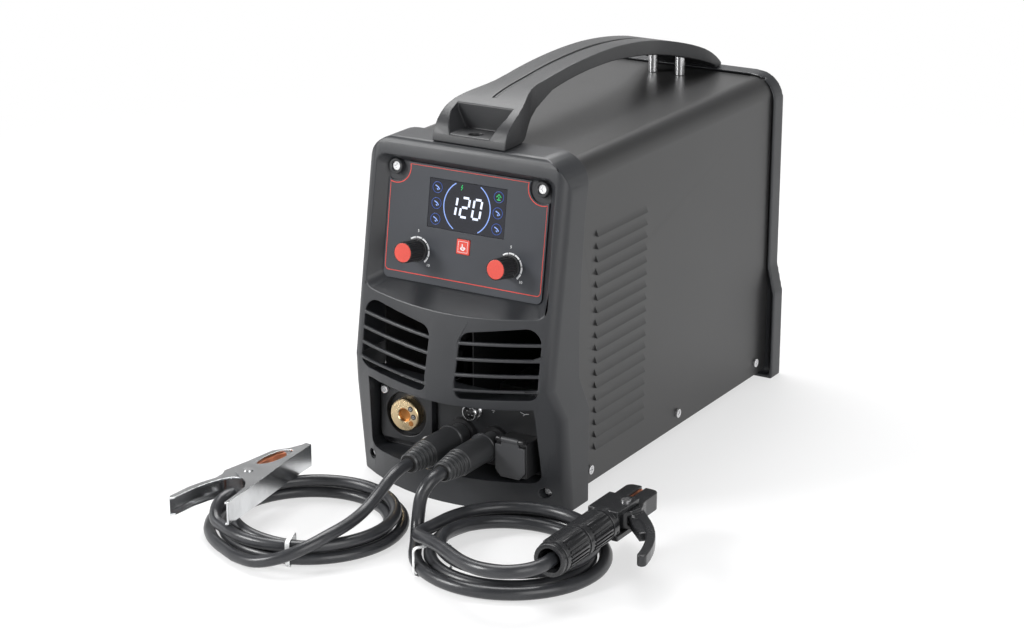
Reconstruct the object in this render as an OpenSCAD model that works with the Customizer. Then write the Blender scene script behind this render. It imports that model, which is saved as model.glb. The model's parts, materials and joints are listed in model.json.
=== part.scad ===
// Inverter MIG welding machine with its earth and electrode leads plugged in.
// Millimetres, Z up, front towards -Y. The origin is the bottom centre of the machine.

/* [Case] */
// Width of the sheet-metal case
case_w = 180; // [172:1:200]
// Height of the case roof above the floor
case_top = 281; // [272:1:300]
// Height of the case floor above the ground
case_floor = 7; // [6:0.5:12]
// Depth from the upper front edge to the rear face
body_d = 384; // [370:2:430]
// Corner radius of the case roof
case_r = 18; // [8:1:24]
// Sheet thickness of the case
sheet = 1.2; // [0.8:0.1:2]
// Number of cooling louvres on the right side
louvre_count = 18; // [6:1:19]
// Spacing of the cooling louvres
louvre_pitch = 10.66; // [9:0.1:11]
// Length of each louvre
louvre_l = 83; // [50:1:90]

/* [Bezels] */
// Width of both bezels above the flare
bezel_w = 187; // [186:1:210]
// Width of both bezels below the flare
foot_w = 199; // [194:1:220]
// Height of the front bezel
bezel_h = 288; // [286:1:310]
// Height of the rear bezel
rear_h = 283.5; // [282:0.5:306]
// Height where the flare starts to widen
flare_top = 107; // [104:1:112]
// Height where the flare ends
flare_low = 81; // [70:1:90]
// Wall thickness of the moulded bezels
wall = 3; // [2:0.5:4]
// Corner radius of the front bezel roof
bezel_r = 28; // [20:1:34]
// How far the middle of the front stands ahead of its upper edge
nose = 43.6; // [40:0.2:50]
// How far the lower edge of the front stands ahead of its upper edge
chin = 39; // [34:0.5:44]
// Thickness of the rear bezel
rear_t = 18.4; // [14:0.4:24]

/* [Control panel] */
// Backward lean of the control panel
lean = 8.43; // [4:0.01:12]
// Width of the control panel
panel_w = 149; // [140:1:156]
// Length of the control panel along its slope
panel_l = 96; // [94:1:100]
// Thickness of the control panel
panel_t = 1.6; // [1:0.1:2.5]
// Width of the display window
display_w = 72; // [60:1:80]
// Height of the display window
display_h = 40; // [34:1:44]
// Side of the square mode button
button_w = 12; // [9:0.5:14]
// Distance of each knob from the centre line
knob_x = 43.3; // [36:0.1:50]
// Diameter of the knob skirt
knob_d = 19; // [16:0.5:24]
// Height of each knob
knob_h = 21; // [14:1:28]
// Diameter of the coloured knob cap
cap_d = 15.6; // [10:0.2:16]

/* [Sockets] */
// Width of the Euro connector flange
flange_w = 50; // [46:1:52]
// Height of the Euro connector flange
flange_h = 47; // [44:1:50]
// Diameter of the brass Euro connector
euro_d = 30; // [26:1:32]
// Diameter of the well around the Euro connector
well_d = 38; // [34:1:40]
// Bore of the Euro connector
euro_bore = 9; // [5:0.5:10]
// Diameter of the cable plugs
plug_d = 23; // [20:0.5:24]
// Length of the plug body in front of its neck
plug_body = 36; // [30:1:44]
// Length of the ribbed plug boot
boot_l = 24; // [18:1:30]
// Side of the cut socket
cut_w = 28; // [24:1:29]

/* [Handle] */
// Width of the handle in the middle
grip_w = 38; // [30:1:44]
// Width of the handle at both ends
grip_end_w = 68; // [56:1:76]
// Height of the handle crown above the floor
crown_z = 332; // [326:1:345]
// Thickness of the grip at its middle
grip_t = 12; // [9:1:15]

/* [Leads] */
// Diameter of the earth lead
earth_d = 9.5; // [8:0.5:10]
// Diameter of the electrode lead
rod_d = 10.5; // [9:0.5:11]
// Outer loop radius of the earth coil
earth_r = 80; // [70:1:84]
// Outer loop radius of the electrode coil
rod_r = 76; // [68:1:78]
// Radial step between the loops of both coils
loop_step = 11.6; // [11.4:0.1:12.2]
// Clear height between the layers of both coils
layer_gap = 0.6; // [0.5:0.1:1]
// Thickness of the cable ties
tie_t = 0.8; // [0.6:0.1:1]

/* [Wire feeder] */
// Diameter of the wire spool
spool_d = 200; // [180:1:204]
// Width of the wire spool
spool_w = 54; // [44:1:56]
// Diameter of the drive roll
roll_d = 30; // [26:1:32]
// Diameter of the pressure roll
idler_d = 22; // [18:1:24]

/* [Cooling] */
// Side of the square fan frame
fan_w = 92; // [80:1:92]
// Depth of the fan frame
fan_t = 25; // [20:1:30]

/* [Fits] */
// Gap between separate pieces
gap = 0.3; // [0.25:0.05:0.4]
// Radial clearance of turning pins
run = 0.05; // [0.03:0.01:0.08]

/* [Hidden] */
$fn = 48;
far = 600;
tiny = 0.01;

// Machine layout, with the upper front edge at y = 0 and the whole moved by mid_y at the end
inlet_reach = 22;
mid_y = (body_d + inlet_reach - max(nose, chin)) / 2;
case_half = case_w / 2;
inner_half = case_half - sheet;
tray_half = inner_half - gap;
bezel_half = bezel_w / 2;
foot_half = foot_w / 2;
case_y0 = 15;
rear_y = body_d - 14;
tray_y0 = 12.2;
tray_top = 30;
screw_z = 19.2;
case_screw_ys = [42.8, 196, rear_y - 21.5];
bow_x = 80;
chin_rise = 22.5;
band_rise = 17.8;
nose_rise = 12.5;
edge_r = 6;
top_y = -nose * edge_r / (bezel_h - flare_top);

// Control panel frame: x across, y up its slope, z out of it, starting at its lower edge
panel_top_z = bezel_h - 20.9;
panel_top_y = 4.1;
panel_z = panel_top_z - panel_l * cos(lean);
panel_y = panel_top_y - panel_l * sin(lean);
knob_v = 25.9;
button_v = 34.8;
display_v = 66.2;
notch_x = 68;
notch_v = panel_l - 5;
notch_r = 12;
board_z = -13;
board_t = 1.6;
knob_z = 0.6;
shaft_r = 3;
shaft_l = 14;
button_x = -0.5;
display_x = 0;

// Sockets
floor_y = -4;
plate_t = 3;
plate_y = floor_y - plate_t;
euro_x = -52;
wire_z = 57;
flange_t = 8;
plug_xs = [0, 31];
plug_zs = [50, 49];
socket_flange_r = 12.8;
socket_flange_t = 4;
socket_face_y = plate_y - socket_flange_t;
neck_l = 14;
neck_r = 9.3;
collar_t = 3;
body_y0 = socket_face_y - neck_l - collar_t;
boot_y0 = body_y0 - plug_body;
plug_end_y = boot_y0 - boot_l;
boot_end_r = 7.5;
trigger_x = 11;
trigger_z = 71.5;
trigger_r = 8;
cut_x = 58.5;
cut_z = 45.5;
cut_h = 29;
cut_front_y = plate_y - 21;
flap_y = cut_front_y - 2;
flap_z = cut_z + cut_h / 2 + 2.2;
flap_t = 2.4;
screw_x = 82.9;
bezel_screw_z = 17.6;
counter_y = 5;

// Wire feeder
roll_y = 95;
roll_z = wire_z - roll_d / 2;
wire_gap = 1;
idler_z = wire_z + wire_gap + idler_d / 2;
arm_pivot_y = 122;
arm_pivot_z = idler_z + 18;
divider_x = -14;
divider_foot = 14;
feed_x = -26;
guide_w = 10;
spool_y = rear_y - 120;
spool_z = 150;
spool_x0 = divider_x - sheet - 9;
hub_r = 25;
spindle_r = 6;
motor_shaft_r = 4;

// Rear
fan_x = 38;
fan_z = 190;
fan_y1 = rear_y;
fan_y0 = fan_y1 - fan_t;
switch_x = -52;
switch_z = 232;
gas_x = -52;
gas_z = 45;
gland_x = 38;
gland_z = 60;

// Leads, with routes in the machine layout
lift = tie_t + 0.1;
earth_low = earth_d / 2 + lift;
earth_high = earth_low + earth_d + layer_gap;
rod_low = rod_d / 2 + lift;
rod_high = rod_low + rod_d + layer_gap;
earth_c = [-58.5, -140];
rod_c = [110, -109];
earth_turns = [1.6, 0.5, 0.9];
rod_turns = [1.6, 0.5, 0.8];
earth_start = 245;
rod_start = 210;
clamp_w = 19;
clamp_t = 1.6;
clamp_head_t = 0.6;
clamp_z = earth_high + earth_d / 2 + gap + clamp_head_t;
clamp_at = [-114.7, -144.7, clamp_z + clamp_w / 2];
clamp_turn = 86.5;
clamp_bed = [-30, -18];
holder_r = 13;
pad_t = 0.6;
holder_at = [174, -166, rod_high + rod_d / 2 + gap + holder_r + pad_t];
earth_out = [[0, -4, 50], [-0.1, -13.6, 49.1], [-0.6, -26.3, 45.2], [-1.6, -44.4, 36.1], [-1.9, -62.1, 30.2],
  [-2, -81.8, 27.7], [-4.8, -102.1, 25.8], [-12.8, -120.9, 20.9], [-27.9, -135.1, 13.8], [-48.3, -139.9, 8]];
earth_in = [[-109.4, -194.8, 16.9], [-113.6, -190, 20.1], [-115.5, -183.4, 24.9]];
earth_end_z = clamp_z + clamp_t + gap + earth_d / 2;
function clamp_point(x, v, z) = [clamp_at[0] + x * cos(clamp_turn) - v * sin(clamp_turn),
  clamp_at[1] + x * sin(clamp_turn) + v * cos(clamp_turn), z];
rod_out = [[31, -4, 49], [30.4, -10.8, 47.7], [28.7, -17.9, 43.1], [26.5, -23.1, 34.3], [26.3, -27.3, 17.2],
  [30.3, -35, 8.1]];
rod_in = [[41.6, -128.5, 17.8], [43.5, -138.1, 19.5], [48.1, -148, 22.5], [56.3, -157.6, 26.2],
  [69.1, -167, 29.9], [88.8, -178.2, 32.1], [110.8, -191, 32.7], [127.1, -197.8, 33.5], [141.4, -199.9, 34.3],
  [153.8, -197.8, 35.1], [163.6, -192.3, 35.7], [170.5, -184.2, 36.2]];

// Helpers
module placed() translate([0, -mid_y, 0]) children();
module along_x(w) rotate([90, 0, 90]) linear_extrude(w, center = true) children();
module along_y(y0, y1) translate([0, y1, 0]) rotate([90, 0, 0]) linear_extrude(y1 - y0) children();
module on_panel() translate([0, panel_y, panel_z]) rotate([90 - lean, 0, 0]) children();
module both_sides() {
  children();
  mirror([1, 0, 0]) children();
}

// Round bar along -Y from y1 to y0 at x, z
module bar_y(x, z, y0, y1, r) translate([x, y1, z]) rotate([90, 0, 0]) cylinder(r = r, h = y1 - y0);
// Round bar along X from x0 to x1 at y, z
module bar_x(y, z, x0, x1, r) translate([x0, y, z]) rotate([0, 90, 0]) cylinder(r = r, h = x1 - x0);
// Box from its lower and its upper corner
module block(a, b) translate(a) cube(b - a);

module rrect(w, h, r) {
  square([w, h - 2 * r], center = true);
  square([w - 2 * r, h], center = true);
  for (x = [-1, 1], y = [-1, 1]) translate([x * (w / 2 - r), y * (h / 2 - r)]) circle(r);
}

function arc(c, r, a0, a1, n) = [for (i = [0 : n]) let (a = a0 + (a1 - a0) * i / n)
  c + r * [cos(a), sin(a)]];
function mix(a, b, t) = a + (b - a) * t;
function bezier(p, n) = [for (i = [0 : n]) let (t = i / n, u = 1 - t)
  u * u * u * p[0] + 3 * u * u * t * p[1] + 3 * u * t * t * p[2] + t * t * t * p[3]];

// Solid through equal rings of points, in order from the first ring to the last
module loft(rings) {
  n = len(rings[0]);
  m = len(rings);
  points = [for (ring = rings) each ring];
  sides = [for (j = [0 : m - 2], i = [0 : n - 1]) let (a = j * n + i, b = j * n + (i + 1) % n)
    each [[a, a + n, b + n], [a, b + n, b]]];
  polyhedron(points, concat([[for (i = [0 : n - 1]) i]],
    sides, [[for (i = [n - 1 : -1 : 0]) (m - 1) * n + i]]));
}

// Cords
function unit(v) = v / norm(v);
function heading(p, i) = unit(p[min(i + 1, len(p) - 1)] - p[max(i - 1, 0)]);
function cord_ring(p, i, r, sides) =
  let (t = heading(p, i), s = unit(cross(t, [0, 0, 1])), u = cross(s, t))
  [for (k = [0 : sides - 1]) let (a = -360 * (k + 0.5) / sides) p[i] + r * (cos(a) * s + sin(a) * u)];
module tube(p, d, sides = 8) {
  r = d / 2;
  loft([for (i = [0 : len(p) - 1]) cord_ring(p, i, r, sides)]);
}
// Smooth route through hand-set points, with three steps to a stretch
function spline_at(p, i, t) =
  let (a = p[max(i - 1, 0)], b = p[i], c = p[i + 1], d = p[min(i + 2, len(p) - 1)])
  0.5 * (2 * b + (c - a) * t + (2 * a - 5 * b + 4 * c - d) * t * t + (3 * b - a - 3 * c + d) * t * t * t);
function smooth_route(p, n = 2) = concat(
  [for (i = [0 : len(p) - 2], k = [0 : n - 1]) spline_at(p, i, k / n)], [p[len(p) - 1]]);

// Coil wound inwards on the floor, up one layer and outwards again
function coil_radius(t, r0, turns) =
  let (middle = turns[0] + turns[1] / 2) r0 - loop_step * (t < middle ? t : 2 * middle - t);
function coil_height(t, low, high, turns) =
  let (k = min(1, max(0, (t - turns[0]) / turns[1]))) mix(low, high, (1 - cos(180 * k)) / 2);
function coil_point(t, c, r0, start, way, low, high, turns) =
  let (a = start + way * 360 * t, r = coil_radius(t, r0, turns))
  [c[0] + r * cos(a), c[1] + r * sin(a), coil_height(t, low, high, turns)];
function coil_route(c, r0, start, way, low, high, turns, d) =
  let (total = turns[0] + turns[1] + turns[2], n = round(total * 24),
    p = [for (i = [0 : n]) coil_point(total * i / n, c, r0, start, way, low, high, turns)],
    s0 = way * [-sin(start), cos(start), 0],
    a1 = start + way * 360 * total, s1 = way * [-sin(a1), cos(a1), 0])
  concat([p[0] - d * s0], p, [p[n] + d * s1]);
function self_gap(p, d) = min([for (i = [0 : len(p) - 1], j = [i + 12 : 1 : len(p) - 1])
  norm(p[i] - p[j])]) - d;

earth_path = coil_route(earth_c, earth_r, earth_start, -1, earth_low, earth_high, earth_turns, earth_d);
rod_path = coil_route(rod_c, rod_r, rod_start, 1, rod_low, rod_high, rod_turns, rod_d);
// A coil's first and last stretches are straight, so the leads meet them square
function before(p, step) = p[0] - step * unit(p[1] - p[0]);
function after(p, step) = let (n = len(p) - 1) p[n] + step * unit(p[n] - p[n - 1]);
function at_plug(p) = [p[0], p[1] + plug_end_y, p[2]];
earth_route = concat([at_plug([plug_xs[0], 0, plug_zs[0]])], smooth_route(concat(
  [for (p = earth_out) at_plug(p)], [before(earth_path, 14)])), [before(earth_path, 5), earth_path[0]]);
rod_route = concat([at_plug([plug_xs[1], 0, plug_zs[1]])], smooth_route(concat(
  [for (p = rod_out) at_plug(p)], [before(rod_path, 7)])), [before(rod_path, 5), rod_path[0]]);
earth_tail_route = concat([after(earth_path, 0), after(earth_path, 4)],
  smooth_route(concat([after(earth_path, 8)], earth_in,
    [clamp_point(-30.5, -1.6, earth_end_z), clamp_point(-22, -1.6, earth_end_z)])));
rod_tail_route = concat([after(rod_path, 0), after(rod_path, 4)],
  smooth_route(concat([after(rod_path, 8)], rod_in, [holder_at - [0, 8, 0], holder_at + [0, 6, 0]])));
echo("Least gap in the earth coil", self_gap(earth_path, earth_d));
echo("Least gap in the electrode coil", self_gap(rod_path, rod_d));

// Bezels
// Plan of the front bezel at one height: swept-back front, rounded corners, straight sides
function front_ring(z, hw, yc, rise, r, back) =
  let (k = rise / (bow_x * bow_x), b = atan(2 * k * (hw - r)), xt = hw - r + r * sin(b),
    c = [hw - r, yc + k * xt * xt + r * cos(b)])
  [for (p = concat(arc([-c[0], c[1]], r, 180, 270 - b, 5),
    [for (i = [1 : 13]) let (x = -xt + 2 * xt * i / 14) [x, yc + k * x * x]],
    arc(c, r, 270 + b, 360, 5), [[hw, back], [-hw, back]])) [p[0], p[1], z]];

// The sweep-back fades out towards the straight upper edge
function fade(z) = (bezel_h - z) / (bezel_h - flare_top);
module front_shape(inset, z0, z1, back) {
  top = inset > 0 ? z1 : z1 - edge_r;
  loft(concat([
    front_ring(z0, foot_half - inset, inset - chin, chin_rise, 12 - inset, back),
    front_ring(flare_low, foot_half - inset, inset - nose + 0.6, band_rise, 12 - inset, back)],
    [for (i = [0 : 6]) let (z = mix(flare_top, top, i / 6))
      front_ring(z, bezel_half - inset, inset - nose * fade(z), nose_rise * fade(z), 11 - inset, back)],
    inset > 0 ? [] : [for (a = [30 : 30 : 90]) front_ring(z1 - edge_r * (1 - sin(a)), bezel_half,
      top_y + edge_r * (1 - cos(a)), nose_rise * fade(top), 11, back)]));
}

// Outline of a bezel seen from the front
module bezel_outline(inset, h, r) {
  up = bezel_half - inset;
  low = foot_half - inset;
  top = h - inset;
  polygon(concat([[-low, inset], [low, inset], [low, flare_low], [up, flare_top]],
    arc([up - r, top - r], r, 0, 90, 10), arc([r - up, top - r], r, 90, 180, 10),
    [[-up, flare_top], [-low, flare_low]]));
}

module case_outline(inset) {
  hw = case_half - inset;
  r = case_r - inset;
  top = case_top - inset;
  polygon(concat([[-hw, case_floor - tiny], [hw, case_floor - tiny]],
    arc([hw - r, top - r], r, 0, 90, 8), arc([r - hw, top - r], r, 90, 180, 8)));
}

function panel_ring(grow, low, high, z, r) =
  let (hw = panel_w / 2 + grow, y0 = -low, y1 = panel_l + high)
  [for (p = concat(arc([hw - r, y1 - r], r, 0, 90, 4), arc([r - hw, y1 - r], r, 90, 180, 4),
    arc([r - hw, y0 + r], r, 180, 270, 4), arc([hw - r, y0 + r], r, 270, 360, 4))) [p[0], p[1], z]];

// Sunken field round the control panel, wider towards the front
module panel_field(grow, back) {
  reach = 26;
  loose = 0.4 + grow;
  on_panel() loft([
    panel_ring(loose, loose, loose, -back, 6 + grow),
    panel_ring(reach + grow, 0.85 * reach + grow, 0.5 * reach + grow, reach, 12 + grow)]);
}

module socket_outline(grow) {
  hw = 81 + grow;
  r = 8 + grow;
  polygon(concat(arc([r - hw, 26 - grow + r], r, 180, 270, 5), arc([hw - r, 26 - grow + r], r, 270, 360, 5),
    [for (i = [0 : 12]) let (x = (hw - 3) * (1 - i / 6)) [x, 86.5 + grow + 4 * x * x / 6400]]));
}

module vent_outline() {
  polygon(concat(arc([20, 99.8], 6, 180, 270, 4), arc([75, 107], 8, 278, 360, 4),
    arc([71, 143.5], 12, 0, 97, 5), arc([24, 137], 10, 97, 180, 4)));
}

// Openings of the right-hand vent between its sloping bars
module vent_slots() {
  bar_t = 2.7;
  pitch = 12.3;
  for (i = [0 : 4])
    along_y(-80, 8) intersection() {
      vent_outline();
      polygon([[0, 137.4 - pitch * i + (i == 4 ? -20 : 0)], [100, 146.7 - pitch * i + (i == 4 ? -20 : 0)],
        [100, 146.7 - pitch * (i - 1) - bar_t + (i == 0 ? 20 : 0)],
        [0, 137.4 - pitch * (i - 1) - bar_t + (i == 0 ? 20 : 0)]]);
    }
}

module front_bezel() {
  color("dimgray") placed() difference() {
    intersection() {
      front_shape(0, 0, bezel_h, 34);
      along_y(-90, 40) bezel_outline(0, bezel_h, bezel_r);
      along_x(far) polygon([[-90, -1], [25, -1], [25, flare_low], [19, flare_top], [19, 146], [21, 190],
        [26, 240], [33, bezel_h - 16], [33, bezel_h + 1], [-90, bezel_h + 1]]);
    }
    difference() {
      intersection() {
        front_shape(wall, wall, case_top + gap, 60);
        union() {
          along_y(-90, 60) intersection() {
            case_outline(-gap);
            translate([-far, flare_top - 1]) square([2 * far, far]);
          }
          along_y(-90, 60) translate([-far, 0]) square([2 * far, flare_top]);
        }
      }
      panel_field(wall, panel_t + wall);
      along_y(-90, floor_y + wall) socket_outline(wall);
      both_sides() bar_y(screw_x, bezel_screw_z, -60, tray_y0, 7);
      on_panel() for (x = [-62, 62], v = [9, panel_l - 22])
        translate([x, v, board_z]) cylinder(r = 3, h = -board_z);
      both_sides() block([50, tray_y0, 0], [62, 40, case_floor]);
    }
    panel_field(0, panel_t);
    along_y(-90, floor_y) socket_outline(0);
    both_sides() vent_slots();
    both_sides() bar_y(screw_x, bezel_screw_z, -60, counter_y, 4.3);
    both_sides() bar_y(screw_x, bezel_screw_z, 0, 30, 2.2);
    on_panel() {
      translate([display_x, display_v, -10]) cube([display_w, display_h, 30], center = true);
      translate([button_x, button_v, -10])
        cube([button_w + 2 * gap, button_w + 2 * gap, 30], center = true);
      both_sides() translate([knob_x, knob_v, -20]) cylinder(r = 5, h = 40);
      both_sides() translate([notch_x, notch_v, -20]) cylinder(r = 2, h = 40);
    }
    for (s = [-1, 1]) bar_y(euro_x + s * (flange_w / 2 - 5), wire_z - s * (flange_h / 2 - 5), -20, 20, 2);
    bar_y(euro_x, wire_z, -20, 20, well_d / 2);
    for (i = [0, 1]) bar_y(plug_xs[i], plug_zs[i], -20, 20, 9.3);
    bar_y(trigger_x, trigger_z, -20, 20, 7);
    along_y(-20, 20) translate([cut_x, cut_z]) square(cut_w - 6, center = true);
    translate([0, 14, bezel_h - 20]) cylinder(r = 2.2, h = 40);
  }
}

module rear_bezel() {
  color("dimgray") placed() difference() {
    along_y(body_d - rear_t, body_d) bezel_outline(0, rear_h, bezel_r - 3);
    difference() {
      union() {
        along_y(0, rear_y + sheet) intersection() {
          bezel_outline(wall, rear_h + wall, bezel_r - 6);
          union() {
            case_outline(-0.5);
            translate([-far, 0]) square([2 * far, flare_top]);
          }
        }
        along_y(0, far) intersection() {
          bezel_outline(wall + 8, rear_h, bezel_r - 8);
          case_outline(8);
        }
      }
      both_sides() block([50, 0, 0], [62, rear_y + sheet, case_floor]);
    }
    translate([0, body_d - 8, rear_h - 20]) cylinder(r = 2.2, h = 40);
  }
}

// Sheet metal
module louvre_hood(z) {
  x = case_half;
  translate([0, 49, z]) {
    along_y(0, louvre_l) polygon([[x - sheet, 3.2], [x, 3.6], [x + 2.6, -2.2], [x + 1.6, -2.2]]);
    for (y = [0, louvre_l - 1])
      along_y(y, y + 1) polygon([[x - 0.4, 3.3], [x, 3.6], [x + 2.6, -2.2], [x - 0.4, -2.2]]);
  }
}

door_y0 = 60;
door_y1 = rear_y - 30;
door_z0 = 38;
door_z1 = 246;
hinge_x = -case_half - 3;
hinge_z = 35;
hinge_ys = [door_y0 + 40, door_y1 - 40];
pin_r = 1.5;
paddle_y = (door_y0 + door_y1) / 2;
paddle_z = 222;
// Spacer posts between the case and the handle
post_x = 13.5;
post_y = body_d - 48;
post_top = rear_h + 18.5;
post_r = 4.5;

module case_cover() {
  color("#1c1d1f") placed() {
    difference() {
      along_y(case_y0, rear_y - gap) case_outline(0);
      along_y(0, far) difference() {
        case_outline(sheet);
        translate([-far, -far]) square([2 * far, far + case_floor - 1]);
      }
      along_y(0, far) translate([-inner_half, 0]) square([2 * inner_half, case_floor + 1]);
      for (i = [0 : louvre_count - 1])
        block([inner_half - 1, 50, 34.5 + louvre_pitch * i],
          [case_half + 1, 48 + louvre_l, 39 + louvre_pitch * i]);
      block([-case_half - 1, door_y0, door_z0], [1 - inner_half, door_y1, door_z1]);
      for (y = case_screw_ys) bar_x(y, screw_z, -far, far, 2.2);
      both_sides() translate([post_x, post_y, case_top - 5]) cylinder(r = 2.2, h = 10);
    }
    for (i = [0 : louvre_count - 1]) louvre_hood(36.7 + louvre_pitch * i);
    for (y = hinge_ys, s = [-1, 1]) difference() {
      union() {
        block([hinge_x, y + s * 18 - 3, hinge_z - 2.5], [-case_half, y + s * 18 + 3, hinge_z + 1.5]);
        bar_y(hinge_x, hinge_z, y + s * 18 - 3, y + s * 18 + 3, 2.5);
      }
      bar_y(hinge_x, hinge_z, y - 30, y + 30, pin_r + run);
    }
  }
}

module base_tray() {
  color("#2a2b2d") placed() {
    difference() {
      block([-tray_half, tray_y0, case_floor], [tray_half, rear_y, tray_top]);
      block([sheet - tray_half, tray_y0 + sheet, case_floor + sheet],
        [tray_half - sheet, rear_y - sheet, far]);
      for (y = case_screw_ys) bar_x(y, screw_z, -far, far, 2);
      both_sides() bar_y(screw_x, bezel_screw_z, 0, 30, 2.2);
      for (i = [0 : 5]) block([20, 60 + 14 * i, 0], [70, 66 + 14 * i, 10]);
    }
  }
}

module side_door() {
  color("#232426") placed() {
    difference() {
      block([-case_half, door_y0 + gap, door_z0 + gap], [-inner_half, door_y1 - gap, door_z1 - gap]);
      block([-far, paddle_y - 22, paddle_z - 13], [0, paddle_y + 22, paddle_z + 13]);
    }
    difference() {
      block([-case_half - 1, paddle_y - 25, paddle_z - 16], [7 - case_half, paddle_y + 25, paddle_z + 16]);
      block([-case_half - 2, paddle_y - 20, paddle_z - 11], [5 - case_half, paddle_y + 20, paddle_z + 11]);
      bar_y(-case_half + 1.4, paddle_z + 9, paddle_y - 22, paddle_y + 22, 1 + run);
    }
    for (y = hinge_ys) {
      block([hinge_x, y - 14, hinge_z + 0.5], [-case_half, y + 14, hinge_z + 2.5]);
      block([-case_half - 1.2, y - 14, hinge_z + 0.5], [-case_half, y + 14, door_z0 + 12]);
      bar_y(hinge_x, hinge_z, y - 14, y + 14, 2.5);
      bar_y(hinge_x, hinge_z, y - 20, y + 20, pin_r);
    }
  }
}

module door_latch() {
  color("black") placed() {
    difference() {
      block([0.2 - case_half, paddle_y - 19.6, paddle_z - 10],
        [2.4 - case_half, paddle_y + 19.6, paddle_z + 10.4]);
      block([-far, paddle_y - 10, paddle_z - 20], [0, paddle_y + 10, paddle_z - 5]);
    }
    bar_y(-case_half + 1.4, paddle_z + 9, paddle_y - 21.5, paddle_y + 21.5, 1);
  }
}

module inner_divider() {
  color("gainsboro") placed() difference() {
    union() {
      block([divider_x, 30, case_floor + sheet], [divider_x + sheet, rear_y - sheet, case_top - 12]);
      block([divider_x, 30, case_floor + sheet],
        [divider_x + divider_foot, rear_y - sheet, case_floor + 2 * sheet]);
    }
    bar_x(roll_y, roll_z, divider_x - 5, divider_x + 5, 7);
    bar_x(spool_y, spool_z, divider_x - 5, divider_x + 5, 4);
    block([divider_x - 5, rear_y - 60, 20], [divider_x + 30, rear_y, 45]);
  }
}

module rear_panel() {
  color("#2a2b2d") placed() difference() {
    along_y(rear_y, rear_y + sheet) intersection() {
      case_outline(0);
      translate([-far, case_floor + sheet]) square([2 * far, far]);
    }
    difference() {
      bar_y(fan_x, fan_z, 0, far, fan_w / 2 - 4);
      for (r = [8 : 9 : 35]) difference() {
        bar_y(fan_x, fan_z, 0, far, r + 2.2);
        bar_y(fan_x, fan_z, -1, far + 1, r);
      }
      for (a = [45, 135]) translate([fan_x, 0, fan_z]) rotate([0, a, 0])
        cube([4, 2 * far, fan_w], center = true);
    }
    for (x = [-1, 1], z = [-1, 1]) bar_y(fan_x + x * 41, fan_z + z * 41, 0, far, 2.2);
    along_y(0, far) translate([switch_x, switch_z]) square([28, 22], center = true);
    bar_y(gas_x, gas_z, 0, far, 6.2);
    bar_y(gland_x, gland_z, 0, far, 10.2);
  }
}

// Cross-head screw that points along +Y, with its head in front of y = 0
module screw(r, l) {
  difference() {
    union() {
      bar_y(0, 0, -2.4, 0, r);
      bar_y(0, 0, -1, l, 1.95);
    }
    for (a = [0, 90]) translate([0, -2.4, 0]) rotate([0, a, 0]) cube([r * 1.2, 2, 1], center = true);
  }
}

module case_screws() {
  color("silver") placed() {
    both_sides() for (y = case_screw_ys)
      translate([case_half, y, screw_z]) rotate([0, 0, 90]) screw(3.9, 6);
    for (p = [[14, bezel_h + 2], [body_d - 8, rear_h + 6]])
      translate([0, p[0], p[1]]) rotate([-90, 0, 0]) screw(3.9, 8);
    both_sides() translate([post_x, post_y, case_top + gap]) {
      cylinder(r = post_r, h = post_top - case_top - gap);
      translate([0, 0, -6]) cylinder(r = 1.95, h = 7);
    }
  }
}

module front_screws() {
  color("silver") placed() {
    both_sides() translate([screw_x, counter_y, bezel_screw_z]) screw(3.8, 14);
    on_panel() both_sides() translate([notch_x, notch_v, -panel_t]) rotate([-90, 0, 0]) screw(3.7, 7);
    for (s = [-1, 1])
      translate([euro_x + s * (flange_w / 2 - 5), floor_y - flange_t, wire_z - s * (flange_h / 2 - 5)])
      screw(3.2, 12);
  }
}

// Handle
handle_y0 = 2;
handle_y1 = body_d - 6;
grip_z = crown_z - grip_t;
pocket_y = 28;
pocket_z = bezel_h + 7;
handle_top = concat(
  bezier([[handle_y0, bezel_h], [handle_y0 + 4, bezel_h + 30], [52, crown_z - 9], [92, crown_z - 5.5]], 14),
  bezier([[92, crown_z - 5.5], [130, crown_z - 1], [175, crown_z + 1], [213, crown_z - 1]], 12),
  bezier([[213, crown_z - 1], [280, crown_z - 5], [350, crown_z - 20], [handle_y1, rear_h + 3]], 18));
handle_bottom = concat(
  [[handle_y1 - 2, rear_h], [handle_y1 - 12, rear_h]],
  bezier([[handle_y1 - 14, rear_h + 3], [320, grip_z - 16], [270, grip_z - 5], [203, grip_z - 0.5]], 14),
  bezier([[203, grip_z - 0.5], [170, grip_z + 1], [135, grip_z], [102, grip_z - 5]], 8),
  bezier([[102, grip_z - 5], [75, grip_z - 14], [54, bezel_h + 6], [40, bezel_h]], 10));

function grip_half(y) =
  let (a = (y - 18) / 60, b = (handle_y1 - 20 - y) / 80, t = max(0, min(1, a, b)))
  mix(grip_end_w / 2, grip_w / 2, (1 - cos(180 * t)) / 2);

module handle_plan(inset) {
  ys = [for (i = [0 : 36]) mix(handle_y0, handle_y1, i / 36)];
  polygon(concat([for (y = ys) [grip_half(y) - inset, y]],
    [for (i = [36 : -1 : 0]) [inset - grip_half(ys[i]), ys[i]]]));
}

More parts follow.
